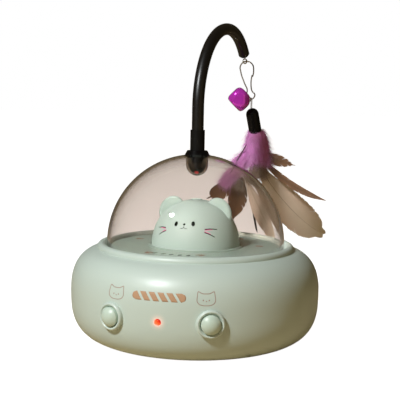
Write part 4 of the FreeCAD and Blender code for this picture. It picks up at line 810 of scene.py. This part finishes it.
class CATTOY_OT_bell(Piece):
    """Faceted jingle bell with a crossed slot"""
    bl_idname = "cattoy.bell"
    bl_label = "Jingle bell"

    # Flats as (across, away, up) in the lure's own view, and their distance from the middle
    FLATS = (((-1, 0, -1), 7.1), ((-1, 0, 1), 8.2), ((1, 0, 1), 8.6), ((1, 0, -1), 9.7), ((-1, 0, 0), 9.7),
             ((1, 0, 0), 9.4), ((0, -1, 0), 8.4), ((0, 1, 0), 8.4), ((1, 1, 0), 9.2), ((1, -1, 0), 9.2),
             ((-1, 1, 0), 9.2), ((-1, -1, 0), 9.2))
    BALL = 10.2
    SAG = 0.3
    PLACE = (-10.424, 0.0, -7.031)
    WALL = 0.8
    SLOT = 1.2
    SLOT_TOP = -7.7
    SOFTNESS = 22

    def make(self, context):
        lure = Lure()
        centre = lure.at(*self.PLACE)
        planes = [((lure.across * a + lure.behind * b + UP * c).normalized(), flat)
                  for (a, b, c), flat in self.FLATS]

        def surface(direction, shrink):
            total = (1 / (self.BALL - self.SAG * direction.z - shrink)) ** self.SOFTNESS
            for normal, flat in planes:
                total += (max(0.0, direction.dot(normal)) / (flat - shrink)) ** self.SOFTNESS
            return direction * total ** (-1 / self.SOFTNESS) * MM

        shells = []
        for shrink in (0, self.WALL):
            bm = bmesh.new()
            bmesh.ops.create_icosphere(bm, subdivisions=5, radius=1)
            for vert in bm.verts:
                vert.co = centre + surface(vert.co.normalized(), shrink)
            if shrink:
                bmesh.ops.reverse_faces(bm, faces=bm.faces)
            shells.append(bm)
        made = piece("jingle_bell", merged(shells), "bell", [self.lacquer()], ["bell_shell"])
        self.cut_slots(made, centre, lure)

    def lacquer(self):
        f = Finish("purple lacquer", Metallic=0.5, Coat_Weight=1.0, Coat_Roughness=0.05)
        colour = sizes("cattoy_lure").bell
        flow = f.noise(210, 3)
        f.set(Base_Color=f.mix(flow, shaded(colour, 0.75), shaded(colour, 1.35)),
              Roughness=flow * 0.12 + 0.14, Normal=f.bump(f.noise(520, 2), 0.10, 0.0001))
        return f.material

    def cut_slots(self, made, centre, lure):
        """Two crossed slots in the underside, cut right through the wall."""
        one = (lure.across + lure.behind).normalized()
        other = one.cross(UP)
        cutters = []
        for long_way, short_way in ((one, other), (other, one)):
            bm = bmesh.new()
            bmesh.ops.create_cube(bm, size=1)
            for vert in bm.verts:
                x, y, z = vert.co
                height = self.SLOT_TOP if z > 0 else -2 * self.BALL
                reach = long_way * x * 2.6 * self.BALL + short_way * y * self.SLOT + UP * height
                vert.co = centre + reach * MM
            bmesh.ops.recalc_face_normals(bm, faces=bm.faces)
            cutter = linked("cutter", mesh_of(bm, "cutter"))
            cut = made.modifiers.new("slot", "BOOLEAN")
            cut.object = cutter
            cut.solver = "EXACT"
            cutters.append(cutter)
        settle(made)
        for cutter in cutters:
            mesh = cutter.data
            bpy.data.objects.remove(cutter)
            bpy.data.meshes.remove(mesh)


def settle(made):
    """Applies a piece's modifiers to its mesh."""
    graph = bpy.context.evaluated_depsgraph_get()
    done = bpy.data.meshes.new_from_object(made.evaluated_get(graph))
    made.modifiers.clear()
    made.data = done


def strips(count, segments):
    """Separate strips in one bmesh, with each vertex's strip, side and place along it."""
    bm = bmesh.new()
    bmesh.ops.create_grid(bm, x_segments=count, y_segments=segments, size=1)
    rails = [e for e in bm.edges
             if abs(e.verts[0].co.x - e.verts[1].co.x) < 1e-7 and len(e.link_faces) == 2]
    bmesh.ops.split_edges(bm, edges=rails)
    places = {}
    for face in bm.faces:
        middle = face.calc_center_median().x
        strip = int((middle + 1) / 2 * count)
        for vert in face.verts:
            places[vert] = (strip, 1 if vert.co.x > middle else -1, (vert.co.y + 1) / 2)
    return bm, places


def interpolate(stops, t):
    """A value on a smooth curve through (place, value) stops."""
    for i, ((a, low), (b, high)) in enumerate(zip(stops, stops[1:])):
        if t <= b:
            before, after = stops[max(i - 1, 0)], stops[min(i + 2, len(stops) - 1)]
            s = max(0.0, t - a) / (b - a)
            rise = (high - before[1]) / (b - before[0]) * (b - a)
            fall = (after[1] - low) / (after[0] - a) * (b - a)
            return (low * (1 + 2 * s) * (1 - s) ** 2 + rise * s * (1 - s) ** 2
                    + high * s * s * (3 - 2 * s) - fall * s * s * (1 - s))
    return stops[-1][1]


class Lure:
    """The lure's own plane: across and up from the hook's ring, in millimetres, and depth behind it."""

    def __init__(self):
        turn = sizes("cattoy_lure").view_azimuth
        self.across = Vector((math.cos(turn), math.sin(turn), 0))
        self.behind = Vector((-math.sin(turn), math.cos(turn), 0))
        self.ring = PIVOTS["bell_swing"]

    def at(self, s, z, depth):
        return self.ring + (self.across * s + UP * z + self.behind * depth) * MM


class CATTOY_OT_down(Piece):
    """Dyed down under the cap and the brown fluff at the feathers' roots"""
    bl_idname = "cattoy.down"
    bl_label = "Down"

    # Start and end of each tuft (across, up, behind), its radii along the way, its share of the strands
    PURPLE = (((6.0, -25.5, 4.5), (8.0, -59.0, 0.0), (8.5, 10.6, 12.0, 12.4, 8.0), 0.68),
              ((0.0, -46.0, 0.0), (-22.5, -75.0, 0.0), (5.5, 7.0, 6.0, 4.0, 1.6), 0.32))
    BROWN = (((8.0, -52.0, 0.0), (9.0, -69.0, 0.0), (5.0, 8.0, 8.0, 5.0), 0.6),
             ((-4.0, -66.0, 0.0), (-7.0, -76.0, 0.0), (3.0, 4.5, 4.0), 0.22),
             ((12.0, -47.0, 0.0), (24.0, -54.0, 0.0), (3.0, 4.0, 2.6), 0.18))
    BROWN_STRANDS = 2200
    SEGMENTS = 5

    def make(self, context):
        p = sizes("cattoy_lure")
        lure = Lure()
        pale = shaded(p.purple, 1.25)
        purple = self.tuft(lure, self.PURPLE, p.strands, random.Random(11), 0.9)
        # The purple down carries painted shade on its side away from the key light.
        piece("purple_down", purple, "lure",
              [fibre("purple down", shaded(p.purple, 0.8), (pale[0], pale[1] * 1.5, pale[2]),
                     (lure.at(2.0, -38.0, 0), p.purple_painted_shade))], ["lure_down"])
        brown = self.tuft(lure, self.BROWN, self.BROWN_STRANDS, random.Random(12), 1.0)
        piece("brown_down", brown, "lure",
              [fibre("brown down", shaded(p.fluff, 0.7), shaded(p.fluff, 1.9))])

    def tuft(self, lure, lobes, total, dice, spread):
        cores = [self.core(lure, lobe) for lobe in lobes]
        bm, places = strips(total, self.SEGMENTS)
        layer = bm.loops.layers.uv.new("strand")
        strands = [self.strand(lure, lobes, i, total, dice, spread) for i in range(total)]
        for vert, (strip, side, along) in places.items():
            start, aim, curl, length, width, tone = strands[strip]
            centre = start + aim * length * along + curl * length * along * along
            flat = aim.cross(lure.behind + curl).normalized()
            vert.co = centre + flat * side * width * (1.02 - along)
        for face in bm.faces:
            for loop in face.loops:
                strip, side, along = places[loop.vert]
                loop[layer].uv = (strands[strip][5], along)
        for core in cores:
            core.loops.layers.uv.new("strand")
        return merged([bm] + cores)

    def frame_of(self, lure, lobe):
        a = lure.at(*lobe[0])
        b = lure.at(*lobe[1])
        axis = (b - a).normalized()
        side = axis.cross(lure.behind).normalized()
        return a, b, axis, side, side.cross(axis).normalized()

    def strand(self, lure, lobes, index, total, dice, spread):
        """Start, aim, curl, length, half width and tone of one strand."""
        share = 0
        for lobe in lobes:
            share += lobe[3]
            if index < total * share:
                break
        a, b, axis, side, back = self.frame_of(lure, lobe)
        stops = [(i / (len(lobe[2]) - 1), r * MM) for i, r in enumerate(lobe[2])]
        t = dice.random() ** 0.8 * 0.86
        turn = dice.uniform(0, 2 * math.pi)
        out = side * math.cos(turn) + back * math.sin(turn)
        radius = interpolate(stops, t)
        start = a.lerp(b, t) + out * radius * dice.uniform(0.45, 0.86)
        lean = dice.uniform(0.10, 1.0) * spread
        stray = Vector((dice.gauss(0, 0.2), dice.gauss(0, 0.2), dice.gauss(0, 0.15)))
        aim = (axis + out * lean + stray).normalized()
        curl = (out * dice.uniform(-0.25, 0.35) + Vector([dice.gauss(0, 0.14) for _ in range(3)])
                - UP * 0.1)
        length = dice.uniform(4.0, 12.0) * MM
        room = (b - a).length * (1 - t) + 4 * MM
        return start, aim, curl, min(length, room), dice.uniform(0.05, 0.12) * MM, dice.random()

    def core(self, lure, lobe):
        """A soft lumpy body inside the strands."""
        a, b, axis, side, back = self.frame_of(lure, lobe)
        stops = [(i / (len(lobe[2]) - 1), r * MM) for i, r in enumerate(lobe[2])]
        bm = bmesh.new()
        bmesh.ops.create_uvsphere(bm, u_segments=28, v_segments=22, radius=1)
        for vert in bm.verts:
            t = (1 - vert.co.z) / 2
            ring = math.hypot(vert.co.x, vert.co.y)
            turn = math.atan2(vert.co.y, vert.co.x)
            out = side * math.cos(turn) + back * math.sin(turn)
            cap = min(1.0, ring * 1.6)
            place = a.lerp(b, t)
            lump = 1 + 0.22 * noise.noise((place + out * 0.004) * 260)
            vert.co = place + out * interpolate(stops, t) * 0.80 * cap * lump
        bmesh.ops.recalc_face_normals(bm, faces=bm.faces)
        return bm


# Share of a feather's half width at shares of its length
ROUND_TIP = ((0, 0.10), (0.12, 0.34), (0.32, 0.78), (0.55, 1.0), (0.76, 0.97), (0.90, 0.72), (0.97, 0.40),
             (1.0, 0.10))
BROAD_TIP = ((0, 0.10), (0.12, 0.36), (0.32, 0.80), (0.55, 1.0), (0.76, 0.95), (0.90, 0.74), (0.96, 0.56),
             (1.0, 0.38))
LEAF_TIP = ((0, 0.12), (0.15, 0.45), (0.40, 0.95), (0.60, 1.0), (0.82, 0.70), (0.94, 0.34), (1.0, 0.06))
NARROW_TIP = ((0, 0.25), (0.25, 0.85), (0.50, 1.0), (0.80, 0.75), (1.0, 0.08))


class CATTOY_OT_feathers(Piece):
    """The eight feathers: each a shaft with separate barbs"""
    bl_idname = "cattoy.feathers"
    bl_label = "Feathers"

    BOW = 160.0
    BARB_STEP = 0.9
    BARB_SEGMENTS = 6
    # Name: root, middle, tip (across, up), half width, layer, side it bows to, tip shape, finish,
    # slant of the barbs, splits, cup
    LEAVES = {
        "feather_brown_left": ((-3, -60), (-18, -76), (-36.5, -88.3), 7.5, 5.6, 1, ROUND_TIP, "brown",
                               0.9, 2, 1.6),
        "feather_brown_inner": ((-1, -62), (-7, -84), (-11.8, -108.6), 8.8, 4.2, 1, LEAF_TIP, "brown",
                                0.9, 3, 2.0),
        "feather_beige_large": ((8, -56), (38, -95), (73.5, -123.4), 14.6, 2.8, 1, BROAD_TIP, "beige",
                                1.0, 1, 2.6),
        "feather_wisp": ((2, -66), (8.5, -103), (12.4, -119), 1.1, 1.4, 1, NARROW_TIP, "dark", 1.4, 0, 0.2),
        "feather_beige_mid": ((1, -62), (14, -96), (31.2, -126.9), 8.0, 0.0, -1, LEAF_TIP, "beige",
                              1.0, 2, 1.8),
        "feather_brown_narrow": ((10, -50), (37, -73), (67.6, -86.0), 3.2, -1.4, -1, NARROW_TIP, "brown",
                                 1.5, 3, 0.6),
        "feather_brown_short": ((10, -45), (24, -52.0), (40.8, -56.6), 4.9, -2.8, -1, LEAF_TIP, "brown",
                                1.3, 3, 0.8),
        "feather_quill": ((-2.5, -39), (-8, -48.5), (-14.8, -61), 0.6, -4.2, -1, NARROW_TIP, "dark",
                          1.4, 0, 0.1),
    }

    def make(self, context):
        p = sizes("cattoy_lure")
        finishes = {
            "brown": vane_finish("brown vane", p.brown, shaded(p.brown, 1.5), shaded(p.brown, 1.25), 0.3),
            # Painted light: the beige vane is painted lighter towards its tip, where the bowed tip turns
            # away from the key light.
            "beige": vane_finish("beige vane", shaded(p.beige, 1.12), p.beige, shaded(p.beige, 1.2),
                                 -0.17, 0.14),
            "dark": vane_finish("dark vane", p.dark, p.dark, shaded(p.dark, 0.8)),
        }
        self.lure = Lure()
        quills = {"brown": (0.12, 0.07, 0.04), "beige": (0.66, 0.52, 0.38), "dark": (0.05, 0.03, 0.02)}
        shafts = {key: printed(key + " shaft", tone, 0.35) for key, tone in quills.items()}
        for index, (name, leaf) in enumerate(self.LEAVES.items()):
            finish = leaf[7]
            bm = self.feather(leaf, random.Random(40 + index))
            piece(name + "_vane", bm, "lure", [finishes[finish], shafts[finish]], [name])

    def sheet(self, leaf, t, side_mm, lift=0.0):
        """A point of the feather's bowed sheet, by its share of the shaft and millimetres off it."""
        root, middle, tip, half, layer, bow = leaf[:6]
        a, m, b = Vector(root), Vector(middle), Vector(tip)
        shaft = a * (1 - t) * (1 - 2 * t) + m * 4 * t * (1 - t) + b * t * (2 * t - 1)
        slope = a * (4 * t - 3) + m * (4 - 8 * t) + b * (4 * t - 1)
        along = slope.normalized()
        side = Vector((along.y, -along.x))
        flat = shaft + side * side_mm
        run = (flat - a).dot((b - a).normalized())
        depth = layer + bow * (self.BOW - math.sqrt(max(1.0, self.BOW ** 2 - run * run)))
        cup = -bow * leaf[10] * (side_mm / max(half, 0.5)) ** 2
        return self.lure.at(flat.x, flat.y, depth + cup + lift)

    def feather(self, leaf, dice):
        root, middle, tip, half = leaf[:4]
        stops, slant, splits = leaf[6], leaf[8], leaf[9]
        length = (Vector(middle) - Vector(root)).length + (Vector(tip) - Vector(middle)).length
        rows = max(12, int(length / self.BARB_STEP))
        vane = []
        for side in (-1, 1):
            cuts = [(dice.uniform(0.25, 0.8), dice.uniform(0.3, 0.9)) for _ in range(splits)]
            bm, places = strips(rows, self.BARB_SEGMENTS)
            layer = bm.loops.layers.uv.new("vane")
            barbs = [self.barb(i / rows, half, stops, slant, cuts, length, dice) for i in range(rows)]
            spots = {}
            for vert, (strip, edge, out) in places.items():
                t0, reach, swing, push, lift = barbs[strip]
                off = reach * out ** 0.94
                t = t0 + (edge * 0.74 / rows) + swing * out ** 1.25 + push * out ** 2
                t = min(max(t, 0.0), 1.06)
                spots[vert] = (t, off / max(half, 0.1) * side)
                vert.co = self.sheet(leaf, t, side * off, lift * out + edge * 0.07)
            for face in bm.faces:
                for loop in face.loops:
                    t, v = spots[loop.vert]
                    loop[layer].uv = (t, 0.5 + v / 2)
            vane.append(bm)
        vane.append(self.shaft(leaf, half, length))
        return merged(vane)

    def barb(self, t, half, stops, slant, cuts, length, dice):
        """Root, reach, swing towards the tip, push from splits and lift of one barb."""
        ahead = slant * half * interpolate(stops, t) / length
        end = min(1.0, t + ahead)
        reach = half * interpolate(stops, end) * min(1.0, (1 - t) / ahead) ** 0.5 * dice.uniform(0.96, 1.02)
        swing = min(slant * reach / length, 1.03 - t) + dice.gauss(0, 0.0012)
        push = 0.0
        for place, size in cuts:
            gap = t - place
            push += math.copysign(size / length * math.exp(-abs(gap) * length / 5), gap)
        return t, reach, swing, push, dice.gauss(0, 0.12)

    def shaft(self, leaf, half, length):
        """A tapered round quill along the middle of the vane."""
        thick = min(0.55, 0.12 + half * 0.045)
        rings = max(10, int(length / 4))
        bm = bmesh.new()
        bmesh.ops.create_grid(bm, x_segments=rings, y_segments=8, size=1)
        layer = bm.loops.layers.uv.new("vane")
        spots = {}
        for vert in bm.verts:
            t = (vert.co.x + 1) / 2
            turn = math.pi * vert.co.y
            radius = thick * (1.05 - 0.9 * t)
            spots[vert] = t
            vert.co = self.sheet(leaf, t * 0.93, math.cos(turn) * radius, math.sin(turn) * radius)
        for face in bm.faces:
            for loop in face.loops:
                loop[layer].uv = (spots[loop.vert], 0.5)
        bmesh.ops.remove_doubles(bm, verts=bm.verts, dist=2e-6)
        bmesh.ops.holes_fill(bm, edges=bm.edges, sides=12)
        for face in bm.faces:
            face.material_index = 1
        bmesh.ops.recalc_face_normals(bm, faces=bm.faces)
        return bm


class CATTOY_OT_stage(Piece):
    """Pale floor, soft light and the camera"""
    bl_idname = "cattoy.stage"
    bl_label = "Stage"

    SHIFT_X = 0.012475
    SHIFT_Y = 0.195175
    # Azimuth, elevation, distance, size, watts, colour
    KEY = (-22, 39, 1.1, 0.10, 11.6, (0.94, 0.98, 1.0))
    FILL = (58, 6, 1.3, 1.2, 1.0, (1.0, 0.74, 0.36))
    LAMP_AIM = 0.09
    DIM_WORLD = 0.08
    WARM_AIR = (1.0, 0.76, 0.42)
    FLOOR_RADIUS = 12

    def make(self, context):
        s = sizes("cattoy_stage")
        self.floor(s)
        self.world()
        self.lamp("key", *self.KEY)
        self.lamp("fill", *self.FILL)
        self.camera(context.scene, s)
        context.scene.view_settings.view_transform = "Standard"

    def floor(self, s):
        bm = bmesh.new()
        bmesh.ops.create_circle(bm, cap_ends=True, segments=96, radius=self.FLOOR_RADIUS)
        ground = linked("floor", mesh_of(bm, "floor"))
        f = Finish("pale floor", Base_Color=s.floor, Roughness=0.9, Specular_IOR_Level=0.1)
        seen = self.background_rays(f)
        plain = f.node("BsdfDiffuse", {}, {"Color": (0.8, 0.8, 0.8)})
        white = f.node("Emission", {}, {"Color": (1, 1, 1), "Strength": 1.0})
        both = f.node("AddShader", {}, {0: plain, 1: white})
        mixed = f.node("MixShader", {}, {0: seen, 1: Wire(f, f.shader.outputs[0]), 2: both})
        f.feed(f.tree.nodes["Material Output"].inputs["Surface"], mixed)
        ground.data.materials.append(f.material)

    def background_rays(self, finish):
        """One where a camera ray looks at the background, straight or through glass."""
        path = finish.tree.nodes.new("ShaderNodeLightPath")
        straight, through, bounced, mirrored = [
            Wire(finish, path.outputs[name])
            for name in ("Is Camera Ray", "Is Transmission Ray", "Diffuse Depth", "Glossy Depth")]
        return (straight + through - bounced * 3 - mirrored * 0.8).clamped()

    def world(self):
        world = bpy.data.worlds.new("soft room")
        world.use_nodes = True
        bpy.context.scene.world = world
        f = Finish.__new__(Finish)
        f.tree = world.node_tree
        seen = self.background_rays(f)
        air = f.tree.nodes["Background"]
        shade = f.mix(seen, self.WARM_AIR, (1.0, 1.0, 1.0))
        f.feed(air.inputs["Color"], shade)
        f.feed(air.inputs["Strength"], seen * (1 - self.DIM_WORLD) + self.DIM_WORLD)

    def lamp(self, name, azimuth, elevation, distance, size, watts, colour):
        data = bpy.data.lights.new(name, "AREA")
        data.shape = "DISK"
        data.size = size
        data.energy = watts
        data.color = colour
        made = linked(name, data)
        away = outward(azimuth) * math.cos(math.radians(elevation)) + UP * math.sin(math.radians(elevation))
        made.location = UP * self.LAMP_AIM + away * distance
        made.rotation_mode = "QUATERNION"
        made.rotation_quaternion = (-away).to_track_quat("-Z", "Y")
        made.visible_camera = False

    def camera(self, scene, s):
        data = bpy.data.cameras.new("photo camera")
        data.lens = s.lens
        data.sensor_width = 36
        data.shift_x = self.SHIFT_X
        data.shift_y = self.SHIFT_Y
        made = linked("photo camera", data)
        away = outward(math.degrees(s.azimuth)) * math.cos(s.elevation) + UP * math.sin(s.elevation)
        made.location = UP * s.aim + away * s.distance
        made.rotation_mode = "QUATERNION"
        level = (-away).to_track_quat("-Z", "Y")
        made.rotation_quaternion = level @ Quaternion((0, 0, 1), s.roll)
        scene.camera = made


class CATTOY_PT_panel(bpy.types.Panel):
    """Lists every piece of the toy"""
    bl_idname = "CATTOY_PT_panel"
    bl_label = "Cat Toy"
    bl_space_type = "VIEW_3D"
    bl_region_type = "UI"
    bl_category = "Cat Toy"

    def draw(self, context):
        for operator in OPERATORS:
            self.layout.operator(operator.bl_idname)


GROUPS = {
    "cattoy_plastic": CatToyPlastic,
    "cattoy_print": CatToyPrint,
    "cattoy_dome": CatToyDome,
    "cattoy_lure": CatToyLure,
    "cattoy_stage": CatToyStage,
}
OPERATORS = (CATTOY_OT_shells, CATTOY_OT_light, CATTOY_OT_inner, CATTOY_OT_bar, CATTOY_OT_deck_prints,
             CATTOY_OT_face, CATTOY_OT_dome, CATTOY_OT_wand, CATTOY_OT_wires, CATTOY_OT_bell,
             CATTOY_OT_down, CATTOY_OT_feathers, CATTOY_OT_stage)


def register():
    for name, group in GROUPS.items():
        bpy.utils.register_class(group)
        setattr(bpy.types.Scene, name, bpy.props.PointerProperty(type=group))
    for operator in OPERATORS:
        bpy.utils.register_class(operator)
    bpy.utils.register_class(CATTOY_PT_panel)


def unregister():
    bpy.utils.unregister_class(CATTOY_PT_panel)
    for operator in reversed(OPERATORS):
        bpy.utils.unregister_class(operator)
    for name, group in GROUPS.items():
        delattr(bpy.types.Scene, name)
        bpy.utils.unregister_class(group)


def main():
    register()
    for operator in OPERATORS:
        family, verb = operator.bl_idname.split(".")
        getattr(getattr(bpy.ops, family), verb)()


if __name__ == "__main__":
    main()
